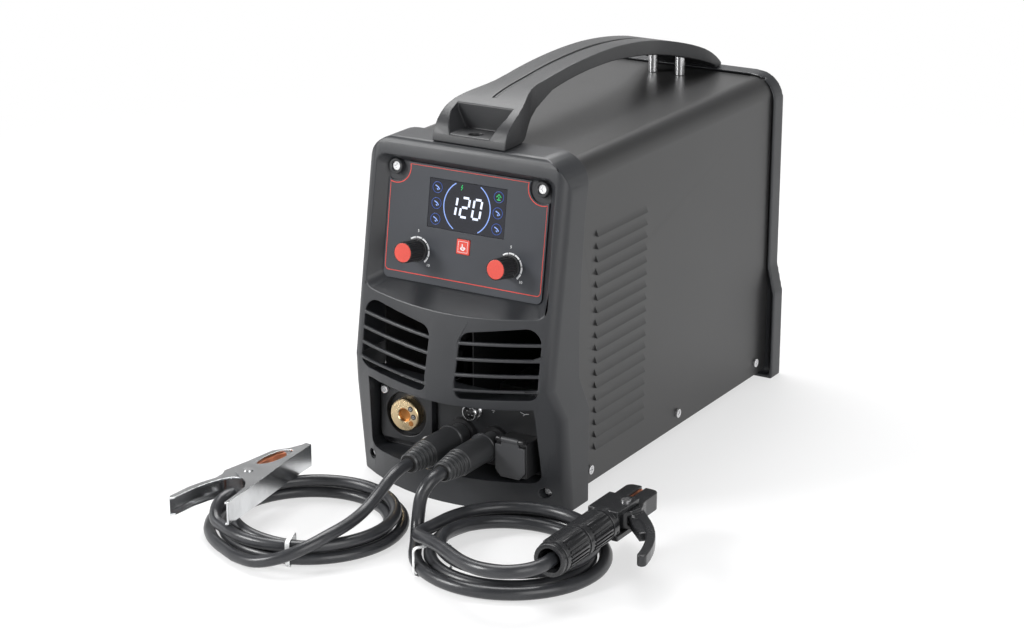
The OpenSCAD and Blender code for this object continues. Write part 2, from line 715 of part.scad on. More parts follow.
module carry_handle() {
  color("#3a3b3e") placed() difference() {
    intersection() {
      along_x(far) polygon(concat(handle_top, handle_bottom));
      linear_extrude(far) handle_plan(0);
    }
    translate([0, 0, -1.6]) along_x(3) polygon(concat(
      [for (p = handle_top) if (p[0] > 34 && p[0] < 296) p], [[296, far], [34, far]]));
    translate([0, 14, bezel_h + 2]) cylinder(r = 6, h = far);
    along_y(-far, pocket_y) polygon([[-18, pocket_z], [18, pocket_z], [25.5, pocket_z + 15], [25.5, far],
      [-25.5, far], [-25.5, pocket_z + 15]]);
    translate([0, 14, bezel_h - 1]) cylinder(r = 2.2, h = far);
    both_sides() translate([post_x, post_y, 0]) cylinder(r = post_r + gap, h = post_top + gap);
    translate([0, body_d - 8, rear_h + 6]) cylinder(r = 5, h = far);
    translate([0, body_d - 8, rear_h - 1]) cylinder(r = 2.2, h = far);
  }
}

// Control panel
module control_panel() {
  color("slategray") placed() on_panel() difference() {
    translate([0, panel_l / 2, -panel_t]) linear_extrude(panel_t) rrect(panel_w, panel_l, 5);
    both_sides() translate([notch_x, notch_v, -5]) cylinder(r = notch_r, h = 10);
    translate([display_x, display_v, 0]) cube([display_w, display_h, 10], center = true);
    translate([button_x, button_v, 0]) cube([button_w + 2 * gap, button_w + 2 * gap, 10], center = true);
    both_sides() translate([knob_x, knob_v, -5]) cylinder(r = 5, h = 10);
  }
}

module display_module() {
  color("#20242c") placed() on_panel() translate([display_x, display_v, 0]) {
    translate([0, 0, -1.4]) cube([display_w - 2 * gap, display_h - 2 * gap, 2.2], center = true);
    translate([0, 0, (board_z - 2.5) / 2])
      cube([display_w - 4, display_h - 3, -board_z - 2.5], center = true);
  }
}

module mode_button() {
  color("tomato") placed() on_panel() translate([button_x, button_v, 0]) {
    translate([0, 0, -3.2]) cube([button_w, button_w, 8], center = true);
    translate([0, 0, -8.2]) cube([button_w - 5, button_w - 5, 3.6], center = true);
  }
}

module knob(side) {
  placed() on_panel() translate([side * knob_x, knob_v, knob_z]) difference() {
    union() {
      cylinder(d = knob_d, h = 3);
      cylinder(d1 = knob_d - 1.4, d2 = cap_d + 1.6, h = knob_h);
    }
    translate([0, 0, -1]) cylinder(r = shaft_r + run, h = shaft_l + 1.6);
    translate([0, 0, knob_h - 1.6]) cylinder(d = cap_d + 0.2, h = 3);
    for (i = [0 : 17]) rotate([0, 0, 20 * i]) translate([knob_d / 2 - 0.4, 0, 3.6])
      cylinder(r = 0.9, h = knob_h);
  }
}

module knob_cap(side) {
  placed() on_panel() translate([side * knob_x, knob_v, knob_z + knob_h - 1.6]) {
    cylinder(d = cap_d, h = 1.9);
  }
}

module voltage_knob() color("#222426") knob(-1);
module current_knob() color("#222426") knob(1);
module voltage_knob_cap() color("tomato") knob_cap(-1);
module current_knob_cap() color("tomato") knob_cap(1);

module control_board() {
  color("darkgreen") placed() on_panel() {
    translate([-68, 3, board_z - board_t]) cube([136, panel_l - 16, board_t]);
    both_sides() translate([knob_x, knob_v, 0]) {
      translate([0, 0, board_z]) cylinder(r = 8.2, h = 7);
      translate([0, 0, board_z + 7 - tiny]) cylinder(r = shaft_r, h = shaft_l - board_z - 7);
    }
    translate([button_x, button_v, board_z]) translate([-3, -3, 0]) cube([6, 6, 2]);
  }
}

// Sockets and connectors
module socket_plate() {
  color("#26282b") placed() difference() {
    intersection() {
      block([-24, plate_y, 28], [80, floor_y, 85]);
      along_y(plate_y, floor_y) socket_outline(-1);
    }
    for (i = [0, 1]) bar_y(plug_xs[i], plug_zs[i], -far, far, 9.3);
    bar_y(trigger_x, trigger_z, -far, far, 7);
    along_y(-20, 20) translate([cut_x, cut_z]) square(cut_w - 6, center = true);
  }
}

module euro_flange() {
  color("#33363a") placed() difference() {
    along_y(floor_y - flange_t, floor_y) translate([euro_x, wire_z]) rrect(flange_w, flange_h, 4);
    bar_y(euro_x, wire_z, -far, far, well_d / 2);
    for (s = [-1, 1])
      bar_y(euro_x + s * (flange_w / 2 - 5), wire_z - s * (flange_h / 2 - 5), -far, far, 2.2);
  }
}

module euro_connector() {
  face_y = floor_y - flange_t - 1;
  color("goldenrod") placed() difference() {
    union() {
      bar_y(euro_x, wire_z, face_y, floor_y + wall + 8, euro_d / 2);
      bar_y(euro_x, wire_z, floor_y - 3, floor_y + wall, well_d / 2 - 0.1);
      bar_y(euro_x, wire_z, floor_y, 55, 7);
    }
    bar_y(euro_x, wire_z, face_y - 1, face_y + 22, euro_bore / 2);
    bar_y(euro_x, wire_z, -far, far, 2);
    for (a = [-40, 0, 40]) bar_y(euro_x + 10 * cos(a), wire_z + 10 * sin(a), face_y - 1, face_y + 8, 1.9);
    along_y(face_y - 1, face_y + 6) translate([euro_x, wire_z + euro_d / 2]) square([4, 4], center = true);
  }
}

module panel_sockets() {
  color("#1d1e20") placed() for (i = [0, 1]) difference() {
    union() {
      bar_y(plug_xs[i], plug_zs[i], socket_face_y, plate_y, socket_flange_r);
      bar_y(plug_xs[i], plug_zs[i], socket_face_y, 18, 9);
    }
    bar_y(plug_xs[i], plug_zs[i], -far, 2, 6.7);
  }
}

module trigger_socket() {
  color("silver") placed() difference() {
    union() {
      bar_y(trigger_x, trigger_z, plate_y - 3, plate_y, trigger_r);
      bar_y(trigger_x, trigger_z, plate_y - 9, plate_y, 6.8);
      bar_y(trigger_x, trigger_z, plate_y - 3, 8, 6.7);
    }
    difference() {
      bar_y(trigger_x, trigger_z, -far, plate_y, 5.6);
      for (a = [90 : 72 : 378]) bar_y(trigger_x + 3 * cos(a), trigger_z + 3 * sin(a), plate_y - 5, 1, 0.6);
    }
  }
}

module cut_socket() {
  hw = cut_w / 2;
  color("#222427") placed() difference() {
    union() {
      block([cut_x - hw, cut_front_y, cut_z - cut_h / 2], [cut_x + hw, plate_y, cut_z + cut_h / 2]);
      block([cut_x - hw + 3.4, plate_y - 2, cut_z - hw + 3.4], [cut_x + hw - 3.4, 10, cut_z + hw - 3.4]);
      for (s = [-1, 1]) {
        block([cut_x + s * 10.5 - 2, flap_y, flap_z - 4],
          [cut_x + s * 10.5 + 2, cut_front_y + 4, flap_z + 1]);
        bar_x(flap_y, flap_z, cut_x + s * 10.5 - 2, cut_x + s * 10.5 + 2, 2.2);
      }
      bar_x(flap_y, flap_z, cut_x - 12, cut_x + 12, 1.2);
    }
    difference() {
      bar_y(cut_x, cut_z, cut_front_y - 1, plate_y - 4, 10);
      for (a = [0 : 60 : 300]) bar_y(cut_x + 5.5 * cos(a), cut_z + 5.5 * sin(a), cut_front_y + 3, 0, 1);
    }
  }
}

module cut_socket_cap() {
  hw = cut_w / 2 - 0.5;
  color("#4b4d50") placed() difference() {
    union() {
      along_y(flap_y - 1, flap_y - 1 + flap_t) polygon([
        [cut_x - hw, flap_z - 5], [cut_x - hw, flap_z - cut_h + 3], [cut_x - hw + 5, flap_z - cut_h - 3],
        [cut_x + hw - 5, flap_z - cut_h - 3], [cut_x + hw, flap_z - cut_h + 3], [cut_x + hw, flap_z - 5]]);
      block([cut_x - 8, flap_y - 1, flap_z - 6], [cut_x + 8, flap_y - 1 + flap_t, flap_z]);
      bar_x(flap_y, flap_z, cut_x - 8, cut_x + 8, 2.2);
    }
    bar_x(flap_y, flap_z, cut_x - far, cut_x + far, 1.2 + run);
  }
}

module plug(i) {
  x = plug_xs[i];
  z = plug_zs[i];
  placed() union() {
    bar_y(x, z, body_y0, socket_face_y + 9, 6.4);
    bar_y(x, z, body_y0, socket_face_y, neck_r);
    bar_y(x, z, body_y0, body_y0 + collar_t, plug_d / 2 + 1);
    bar_y(x, z, boot_y0, body_y0, plug_d / 2);
    translate([x, boot_y0, z]) rotate([90, 0, 0])
      cylinder(r1 = plug_d / 2 - 2, r2 = boot_end_r - 0.8, h = boot_l);
    for (k = [0 : 4]) let (t = (k + 0.5) / 5.4)
      bar_y(x, z, boot_y0 - boot_l * t - 3, boot_y0 - boot_l * t,
        mix(plug_d / 2 - 0.5, boot_end_r + 0.3, t));
    bar_y(x, z, plug_end_y, plug_end_y + 2, boot_end_r);
  }
}

module earth_plug() color("#3c3e40") plug(0);
module electrode_plug() color("#3c3e40") plug(1);

// Leads
module earth_cord() color("#46484a") placed() tube(smooth_route(earth_route), earth_d);
module earth_coil() color("#46484a") placed() tube(earth_path, earth_d, 6);
module earth_tail() color("#46484a") placed() tube(smooth_route(earth_tail_route), earth_d);
module electrode_cord() color("#46484a") placed() tube(smooth_route(rod_route), rod_d);
module electrode_coil() color("#46484a") placed() tube(rod_path, rod_d, 6);
module electrode_tail() color("#46484a") placed() tube(smooth_route(rod_tail_route), rod_d);

// Tie round the strands of a coil at one angle, from its innermost to its outermost strand
module tie(c, angle, inner, outer, high, d) {
  loose = 0.25;
  tie_w = 3.6;
  r0 = inner - d / 2 - loose - tie_t;
  r1 = outer + d / 2 + loose + tie_t;
  top = high + d / 2 + loose + tie_t;
  translate([c[0], c[1], 0]) rotate([90, 0, angle]) translate([0, 0, -tie_w / 2])
    difference() {
      linear_extrude(tie_w) translate([(r0 + r1) / 2, top / 2]) rrect(r1 - r0, top, 4);
      translate([0, 0, -1]) linear_extrude(tie_w + 2)
        translate([(r0 + r1) / 2, top / 2]) rrect(r1 - r0 - 2 * tie_t, top - 2 * tie_t, 4 - tie_t);
    }
}

module cable_ties() {
  color("white") placed() {
    tie(earth_c, 292, coil_radius(1.85, earth_r, earth_turns), coil_radius(0.82, earth_r, earth_turns),
      earth_high, earth_d);
    tie(rod_c, 232, coil_radius(1.64, rod_r, rod_turns), coil_radius(0.05, rod_r, rod_turns),
      rod_high, rod_d);
  }
}

// Earth clamp on its side on the coil: x runs from its pin to the jaws, z is the way it opens
module at_clamp() placed() translate(clamp_at) rotate([0, 0, clamp_turn]) rotate([-90, 0, 0]) children();
module stamping(w, t) {
  difference() {
    along_y(-w / 2, w / 2) children(0);
    along_y(t - w / 2, w / 2 - t) children(1);
  }
}
clamp_pin_r = 2.5;
top_w = clamp_w - 2 * clamp_t - 2 * gap;
jaw_x = 72;
mouth = [36, 2.4, 21.2, 8.2];
near_wall = [[jaw_x, -6], [38, -11.5], [-11, -22], [-60, -31]];
far_wall = [[jaw_x, 2.6], [60, 6.5], [47, 14.5], [17, 15.8], [-8, 18]];
far_grip = [[-14, 14.6], [-24, 13.6], [-36, 16.5], [-50, 18.5], [-72, 18]];
function mouth_side(a0, a1) = [for (i = [0 : 8]) let (a = mix(a0, a1, i / 8))
  [mouth[0] + mouth[2] * cos(a), mouth[1] + mouth[3] * sin(a)]];
function shift(points, d) = [for (p = points) [min(p[0], jaw_x - abs(d)), p[1] + d]];

module clamp_bottom_jaw() {
  wall_in = clamp_t * 1.03;
  color("silver") at_clamp() difference() {
    union() {
      stamping(clamp_w, clamp_t) {
        polygon(concat(near_wall, [[-62, -28.5], [-40, -24], [-28, -20.5], [-21, -15], [-16, -8], [-13, -2],
          [-9, 5.5], [0, 8.5], [9, 6.5], [14, 3]], mouth_side(186, 344), [[jaw_x, -0.2]]));
        polygon(concat(shift(near_wall, wall_in), [[-90, -37 + wall_in], [-90, 40], [jaw_x - wall_in, 40]]));
      }
      block([clamp_bed[0], clamp_w / 2 - clamp_t, -22], [clamp_bed[1], clamp_w / 2, 3.5]);
    }
    bar_y(0, 0, -far, far, clamp_pin_r);
  }
}

module clamp_top_jaw() {
  wall_in = clamp_t * 1.03;
  color("gainsboro") at_clamp() difference() {
    stamping(top_w, clamp_t) {
      polygon(concat([[jaw_x, 0.2]], far_wall, far_grip,
        [[-76, 15.5], [-72, 13], [-50, 13], [-36, 11], [-24, 8],
        [-16, 4], [-12, -3], [-8, -6.5], [0, -8], [8, -6], [14.5, 2.4]], mouth_side(176, -12)));
      polygon(concat([[jaw_x - wall_in, -20]], shift(far_wall, -wall_in), shift(far_grip, -wall_in),
        [[-90, 18 - wall_in], [-90, -20]]));
    }
    bar_y(0, 0, -far, far, clamp_pin_r + run);
  }
}

module clamp_pin() {
  color("silver") at_clamp() {
    bar_y(0, 0, -clamp_w / 2, clamp_w / 2, clamp_pin_r);
    for (s = [-1, 1]) bar_y(0, 0, min(s, 0) * clamp_head_t + s * clamp_w / 2,
      max(s, 0) * clamp_head_t + s * clamp_w / 2, 4);
  }
}

spring_d = 1.6;
spring_r = 4.4;
spring_turns = 4;
spring_pitch = 2.4;
spring_path = [for (i = [0 : spring_turns * 8]) let (a = 45 * i)
  [spring_r * sin(a), (i / 8 - spring_turns / 2) * spring_pitch, spring_r * cos(a)]];
function spring_ring(i) =
  let (a = 45 * i, n = [sin(a), 0, cos(a)], w = [0, 1, 0])
  [for (k = [0 : 5]) spring_path[i] + spring_d / 2 * (cos(60 * k) * n - sin(60 * k) * w)];
echo("Least gap in the clamp spring", spring_pitch - spring_d);

module clamp_spring() {
  color("darkgray") at_clamp() loft([for (i = [0 : spring_turns * 8]) spring_ring(i)]);
}

module clamp_contact() {
  seat = shift(far_wall, -clamp_t * 1.03);
  contact_w = top_w - 2 * clamp_t - 2 * gap;
  color("#b87348") at_clamp() along_y(-contact_w / 2, contact_w / 2)
    polygon([seat[3], seat[2], seat[2] + [6, -6], [53, 4.5], [47, 7], [36, 8.4], [24, 7], [18, 5]]);
}

// Electrode holder, drawn from its cable mouth along +X with its lever on the -Y side
module at_holder() placed() translate(holder_at) rotate([0, 0, 90]) children();
module bar_local_x(x0, x1, r) translate([x0, 0, 0]) rotate([0, 90, 0]) cylinder(r = r, h = x1 - x0);
holder_pivot = [104, -7];
fork_in = 7.5;
fork_out = 12;
jaw_end = 146;
hook_t = 9;

module holder_handle() {
  color("#3f4144") at_holder() difference() {
    union() {
      bar_local_x(0, 84, holder_r);
      translate([16, 6, -7]) cube([100, 9, 14]);
      translate([82, 1.8, -8]) linear_extrude(16) polygon(concat([[0, 0], [0, 11.5]],
        arc([jaw_end - 82 - 6, 5.7], 5.8, 90, 0, 5), [[jaw_end - 82, 0]]));
      for (s = [0, 1]) mirror([0, 0, s]) translate([80, -13, fork_in]) cube([34, 26, fork_out - fork_in]);
      translate([80, -11, -fork_out]) cube([8, 22, 2 * fork_out]);
      for (x = [14, 46], a = [-60, 180])
        rotate([a, 0, 0]) translate([x, -4, holder_r - 2]) cube([26, 8, 2 + pad_t]);
    }
    bar_local_x(-1, 60, 9.4);
    translate([holder_pivot[0], holder_pivot[1], -20]) cylinder(r = 2.5, h = 40);
    translate([124, 1, -2.5]) cube([12, 4, 5]);
  }
}

module holder_lever() {
  color("#45474a") at_holder() difference() {
    union() {
      translate([0, 0, 0.3 - fork_in]) linear_extrude(2 * fork_in - 0.6) {
        polygon(concat([[94, -1.5], [94, -10]],
          [[97, -16], [107, -19], [114, -17]],
          bezier([[116, -16], [118, -15], [120, -14.5], [124, -14]], 4),
          arc([jaw_end - 6, -8.2], 5.8, -90, 0, 5), [[jaw_end, -1.5]]));
      }
      translate([0, 0, -hook_t / 2]) linear_extrude(hook_t) polygon(concat([[96, -12]],
        bezier([[96, -16], [97, -22], [92, -28], [84, -34.5]], 5),
        bezier([[82, -36], [70, -44], [54, -50], [38, -53.4]], 6),
        arc([37, -57], 3.6, 90, 270, 6),
        bezier([[39, -60.4], [58, -57], [74, -50], [86, -41]], 6),
        bezier([[88, -39.5], [98, -32], [105, -24], [113, -17.5]], 5)));
      translate([0, 0, -hook_t / 2 + 1]) linear_extrude(hook_t - 2)
        polygon([[95, -14], [86, -22], [72, -36], [77, -41], [92, -28], [99, -22]]);
    }
    translate([holder_pivot[0], holder_pivot[1], -20]) cylinder(r = 2.5 + run, h = 40);
  }
}

module holder_pin() {
  color("silver") at_holder() translate([holder_pivot[0], holder_pivot[1], 0]) {
    translate([0, 0, -fork_out - 0.8]) cylinder(r = 2.5, h = 2 * fork_out + 1.6);
    for (s = [0, 1]) mirror([0, 0, s]) translate([0, 0, fork_out]) cylinder(r = 4, h = 1.2);
  }
}

module holder_contact() {
  color("#b87348") at_holder() translate([112, 0.2, -6]) cube([32, 1.6, 12]);
}

// Power electronics
board_z0 = 60;
module power_board() {
  color("darkgreen") placed() {
    block([divider_x + 8, 132, board_z0], [84, 330, board_z0 + 2]);
    for (x = [divider_x + divider_foot + 4, 78], y = [138, 324]) translate([x, y, case_floor + sheet])
      cylinder(r = 3, h = board_z0 - case_floor - sheet);
    for (i = [0 : 2]) translate([10 + 32 * i, 275, board_z0 + 2]) cylinder(r = 14.5, h = 42);
    block([0, 136, board_z0 + 2], [40, 146, board_z0 + 26]);
    block([50, 300, board_z0 + 2], [78, 326, board_z0 + 20]);
  }
}

module heat_sinks() {
  color("lightgray") placed() for (x = [0, 44]) {
    block([x, 150, board_z0 + 2], [x + 34, 250, board_z0 + 8]);
    for (i = [0 : 6]) block([x + 5 * i, 150, board_z0 + 8 - tiny], [x + 5 * i + 2, 250, board_z0 + 62]);
  }
}

module transformer() {
  z0 = case_floor + sheet;
  color("saddlebrown") placed() {
    difference() {
      block([8, 156, z0], [72, 214, z0 + 44]);
      for (x = [18, 46]) block([x, 100, z0 + 9], [x + 16, far, z0 + 35]);
    }
    for (x = [19, 47]) block([x, 148, z0 + 9.5], [x + 14, 222, z0 + 34.5]);
    translate([40, 270, z0]) difference() {
      cylinder(r = 30, h = 26);
      translate([0, 0, -1]) cylinder(r = 13, h = far);
    }
  }
}

// Fan
module fan_frame() {
  hub_r0 = 17;
  color("#17181a") placed() difference() {
    union() {
      difference() {
        along_y(fan_y0, fan_y1) translate([fan_x, fan_z]) rrect(fan_w, fan_w, 4);
        bar_y(fan_x, fan_z, 0, far, fan_w / 2 - 2.6);
      }
      bar_y(fan_x, fan_z, fan_y1 - 3, fan_y1, hub_r0);
      along_y(fan_y1 - 3, fan_y1) for (a = [30, 150, 270])
        translate([fan_x, fan_z]) rotate(a) translate([0, -2.5]) square([fan_w / 2 - 1, 5]);
      bar_y(fan_x, fan_z, fan_y0 + 5, fan_y1, 2);
    }
    for (x = [-1, 1], z = [-1, 1]) bar_y(fan_x + x * 41, fan_z + z * 41, 0, far, 2.2);
  }
}

module fan_rotor() {
  color("#26282b") placed() difference() {
    union() {
      bar_y(fan_x, fan_z, fan_y0 + 2, fan_y1 - 3.4, 17);
      for (i = [0 : 6]) translate([fan_x, fan_y0 + 11, fan_z]) rotate([0, i * 360 / 7, 0])
        translate([0, 0, 16]) rotate([0, 0, 38]) block([-8, -1, 0], [10, 1, fan_w / 2 - 21]);
    }
    bar_y(fan_x, fan_z, fan_y0, far, 2 + run);
  }
}

// Wire feeder
module feed_unit() {
  color("#2d2f33") placed() difference() {
    union() {
      block([feed_x, 56, 14], [divider_x, 136, 118]);
      for (y = [58, 126]) block([euro_x - guide_w / 2, y, wire_z - 5], [feed_x, y + 9, wire_z + 5]);
      bar_x(arm_pivot_y, arm_pivot_z, euro_x - 9, feed_x, 3);
    }
    bar_x(roll_y, roll_z, -far, far, motor_shaft_r + run);
    bar_y(euro_x, wire_z, -far, far, 1.5);
  }
}

module feed_motor() {
  color("silver") placed() difference() {
    union() {
      block([divider_x + sheet, roll_y - 24, roll_z - 20],
        [divider_x + sheet + 34, roll_y + 24, roll_z + 24]);
      bar_x(roll_y, roll_z + 2, divider_x + sheet + 34, divider_x + sheet + 88, 21);
    }
    bar_x(roll_y, roll_z, -far, divider_x + 24, motor_shaft_r + run);
  }
}

module drive_roll() {
  color("gray") placed() difference() {
    union() {
      bar_x(roll_y, roll_z, euro_x - 6, euro_x + 6, roll_d / 2);
      bar_x(roll_y, roll_z, euro_x - 10, divider_x + 22, motor_shaft_r);
      bar_x(roll_y, roll_z, euro_x + 6, feed_x - gap, 7);
      bar_x(roll_y, roll_z, euro_x - 10, euro_x - 6, 8);
    }
    bar_x(roll_y, roll_z, -far, euro_x - 8, 2);
  }
}

arm_x0 = euro_x - 8;
arm_x1 = euro_x + 8;
module pressure_arm() {
  color("#3b3e42") placed() difference() {
    union() {
      for (x = [arm_x0, arm_x1 - 4]) {
        block([x, 70, idler_z - 4], [x + 4, arm_pivot_y, idler_z + 22]);
        bar_x(arm_pivot_y, arm_pivot_z, x, x + 4, 7);
      }
      block([arm_x0, 62, idler_z + 14], [arm_x1, 112, idler_z + 22]);
      bar_x(roll_y, idler_z, arm_x0, arm_x1, 3);
      translate([euro_x, 78, idler_z + 22 - tiny]) cylinder(r = 3, h = 20);
      translate([euro_x, 78, idler_z + 30]) cylinder(r = 8.5, h = 18);
    }
    bar_x(arm_pivot_y, arm_pivot_z, -far, far, 3 + run);
  }
}

module pressure_roll() {
  color("gray") placed() difference() {
    bar_x(roll_y, idler_z, arm_x0 + 4.4, arm_x1 - 4.4, idler_d / 2);
    bar_x(roll_y, idler_z, -far, far, 3 + run);
  }
}

// Spool
module spool_spindle() {
  color("silver") placed() {
    bar_x(spool_y, spool_z, spool_x0 - spool_w - 6, divider_x, spindle_r);
    bar_x(spool_y, spool_z, spool_x0 + 2, divider_x, 16);
    bar_x(spool_y, spool_z, divider_x - 2, divider_x + 6, 4);
    bar_x(spool_y, spool_z, divider_x + sheet, divider_x + 7, 10);
  }
}

module wire_spool() {
  x0 = spool_x0 - spool_w;
  color("#33363a") placed() difference() {
    union() {
      bar_x(spool_y, spool_z, x0, x0 + 3, spool_d / 2);
      bar_x(spool_y, spool_z, spool_x0 - 3, spool_x0, spool_d / 2);
      bar_x(spool_y, spool_z, x0, spool_x0, spool_d * 0.26);
      bar_x(spool_y, spool_z, x0 + 4, spool_x0 - 4, spool_d * 0.44);
      bar_x(spool_y, spool_z, x0 - 4, x0, hub_r);
    }
    bar_x(spool_y, spool_z, -far, far, spindle_r + run);
    for (a = [0 : 60 : 300]) translate([0, spool_y, spool_z]) rotate([a, 0, 0]) translate([0, 38, 0])
      bar_x(0, 0, -far, far, 7);
  }
}

// Rear fittings
module power_switch() {
  color("#151617") placed() difference() {
    union() {
      along_y(rear_y + sheet, rear_y + sheet + 2.4) translate([switch_x, switch_z]) rrect(32, 26, 2);
      along_y(rear_y - 26, rear_y + sheet + 1) translate([switch_x, switch_z])
        square([27.4, 21.4], center = true);
    }
    along_y(rear_y - 8, far) translate([switch_x, switch_z]) square([23, 17], center = true);
    bar_x(rear_y - 1, switch_z, switch_x - 13, switch_x + 13, 1.5 + run);
  }
}

module power_rocker() {
  color("#202224") placed() difference() {
    union() {
      along_x_at(switch_x, 22) polygon([[rear_y - 3, switch_z - 4], [rear_y + 3.6, switch_z - 7.4],
        [rear_y + 4.6, switch_z], [rear_y + 7, switch_z + 7.6], [rear_y - 3, switch_z + 4]]);
      bar_x(rear_y - 1, switch_z, switch_x - 12.6, switch_x + 12.6, 1.5);
    }
  }
}
module along_x_at(x, w) translate([x, 0, 0]) along_x(w) children();

module gas_inlet() {
  color("goldenrod") placed() difference() {
    union() {
      bar_y(gas_x, gas_z, rear_y - 12, body_d + inlet_reach, 4);
      bar_y(gas_x, gas_z, rear_y - 3, rear_y, 8.5);
      bar_y(gas_x, gas_z, rear_y, rear_y + sheet, 6);
      bar_y(gas_x, gas_z, rear_y + sheet, rear_y + 7, 8);
      for (i = [0 : 2]) translate([gas_x, body_d + inlet_reach - 3 - 5 * i, gas_z]) rotate([90, 0, 0])
        cylinder(r1 = 4.1, r2 = 5.1, h = 4);
    }
    bar_y(gas_x, gas_z, -far, far, 2.4);
  }
}

module cable_gland() {
  color("#17181a") placed() difference() {
    union() {
      bar_y(gland_x, gland_z, rear_y - 10, rear_y + sheet, 10);
      bar_y(gland_x, gland_z, rear_y - 5, rear_y, 14);
      bar_y(gland_x, gland_z, rear_y + sheet, rear_y + 8, 14);
      translate([gland_x, rear_y + 22, gland_z]) rotate([90, 0, 0]) cylinder(r1 = 8.5, r2 = 12.5, h = 14);
    }
    bar_y(gland_x, gland_z, -far, far, 5);
  }
}

front_bezel();
rear_bezel();
case_cover();
base_tray();
side_door();
door_latch();
inner_divider();
rear_panel();
carry_handle();
case_screws();
front_screws();
control_panel();
display_module();
mode_button();
voltage_knob();
voltage_knob_cap();
current_knob();
current_knob_cap();
control_board();
socket_plate();
euro_flange();
euro_connector();
panel_sockets();
trigger_socket();
cut_socket();
cut_socket_cap();
earth_plug();
electrode_plug();
earth_cord();
earth_coil();
earth_tail();
electrode_cord();
electrode_coil();
electrode_tail();
cable_ties();
clamp_bottom_jaw();
clamp_top_jaw();
clamp_pin();
clamp_spring();
clamp_contact();
holder_handle();
holder_lever();
holder_pin();
holder_contact();
power_board();
heat_sinks();
transformer();
fan_frame();
fan_rotor();
feed_unit();
feed_motor();
drive_roll();
pressure_arm();
pressure_roll();
spool_spindle();
wire_spool();
power_switch();
power_rocker();
gas_inlet();
cable_gland();
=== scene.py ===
import math
import bpy
import bmesh
from mathutils import Matrix, Vector
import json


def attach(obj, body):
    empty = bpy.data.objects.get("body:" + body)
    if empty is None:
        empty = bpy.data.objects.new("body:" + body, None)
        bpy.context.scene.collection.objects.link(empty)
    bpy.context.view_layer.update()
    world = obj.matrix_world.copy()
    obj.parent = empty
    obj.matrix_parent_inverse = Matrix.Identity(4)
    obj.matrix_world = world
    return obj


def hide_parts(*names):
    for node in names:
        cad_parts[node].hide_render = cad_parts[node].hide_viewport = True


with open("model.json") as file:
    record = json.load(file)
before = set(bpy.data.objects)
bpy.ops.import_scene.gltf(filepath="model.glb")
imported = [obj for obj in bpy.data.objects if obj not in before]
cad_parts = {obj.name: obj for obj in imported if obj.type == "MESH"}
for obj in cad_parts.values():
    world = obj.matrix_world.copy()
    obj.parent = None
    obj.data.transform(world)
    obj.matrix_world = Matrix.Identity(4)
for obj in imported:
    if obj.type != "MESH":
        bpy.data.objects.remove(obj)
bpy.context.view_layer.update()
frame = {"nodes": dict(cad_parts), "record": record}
nodes = frame["nodes"]
bodyOf = {n: body for body, names in frame["record"]["behaviour"]["bodies"].items() for n in names}
scene = bpy.context.scene
mm = 0.001
midY = 181.2  # the machine is drawn from its upper front edge, and the frame from its middle


def at(x, y, z):
    return Vector((x, y - midY, z)) * mm


def facing(x, y, z):
    # a place whose z axis looks out of the machine's front
    return Matrix.Translation(at(x, y, z)) @ Matrix.Rotation(math.pi / 2, 4, "X")


# ---------------------------------------------------------------- camera
view = {
    "position": (1031.9, -1639.9, 793.15),
    "right": (0.855804, 0.517297, 0.001665),
    "up": (-0.164988, 0.269899, 0.948648),
    "back": (0.490284, -0.812132, 0.316329),
    "lens": 89.37,
}


def placeCamera():
    lens = bpy.data.cameras.new("studioCamera")
    lens.lens = view["lens"]
    lens.sensor_width = 36
    lens.clip_end = 40
    camera = bpy.data.objects.new("studioCamera", lens)
    scene.collection.objects.link(camera)
    turn = Matrix((view["right"], view["up"], view["back"])).transposed().to_4x4()
    camera.matrix_world = Matrix.Translation(at(*view["position"])) @ turn
    scene.camera = camera


placeCamera()
scene.view_settings.view_transform = "Standard"
print("camera placed")


# ---------------------------------------------------------------- shader helpers
class Value:
    # wraps one socket, so that sums on it add Math nodes
    def __init__(self, look, socket):
        self.look = look
        self.socket = socket

    def sum(self, operation, a, b):
        return self.look.node("ShaderNodeMath", {"operation": operation}, {0: a, 1: b})

    def __add__(self, other):
        return self.sum("ADD", self, other)

    def __radd__(self, other):
        return self.sum("ADD", other, self)

    def __mul__(self, other):
        return self.sum("MULTIPLY", self, other)

    def __rmul__(self, other):
        return self.sum("MULTIPLY", other, self)


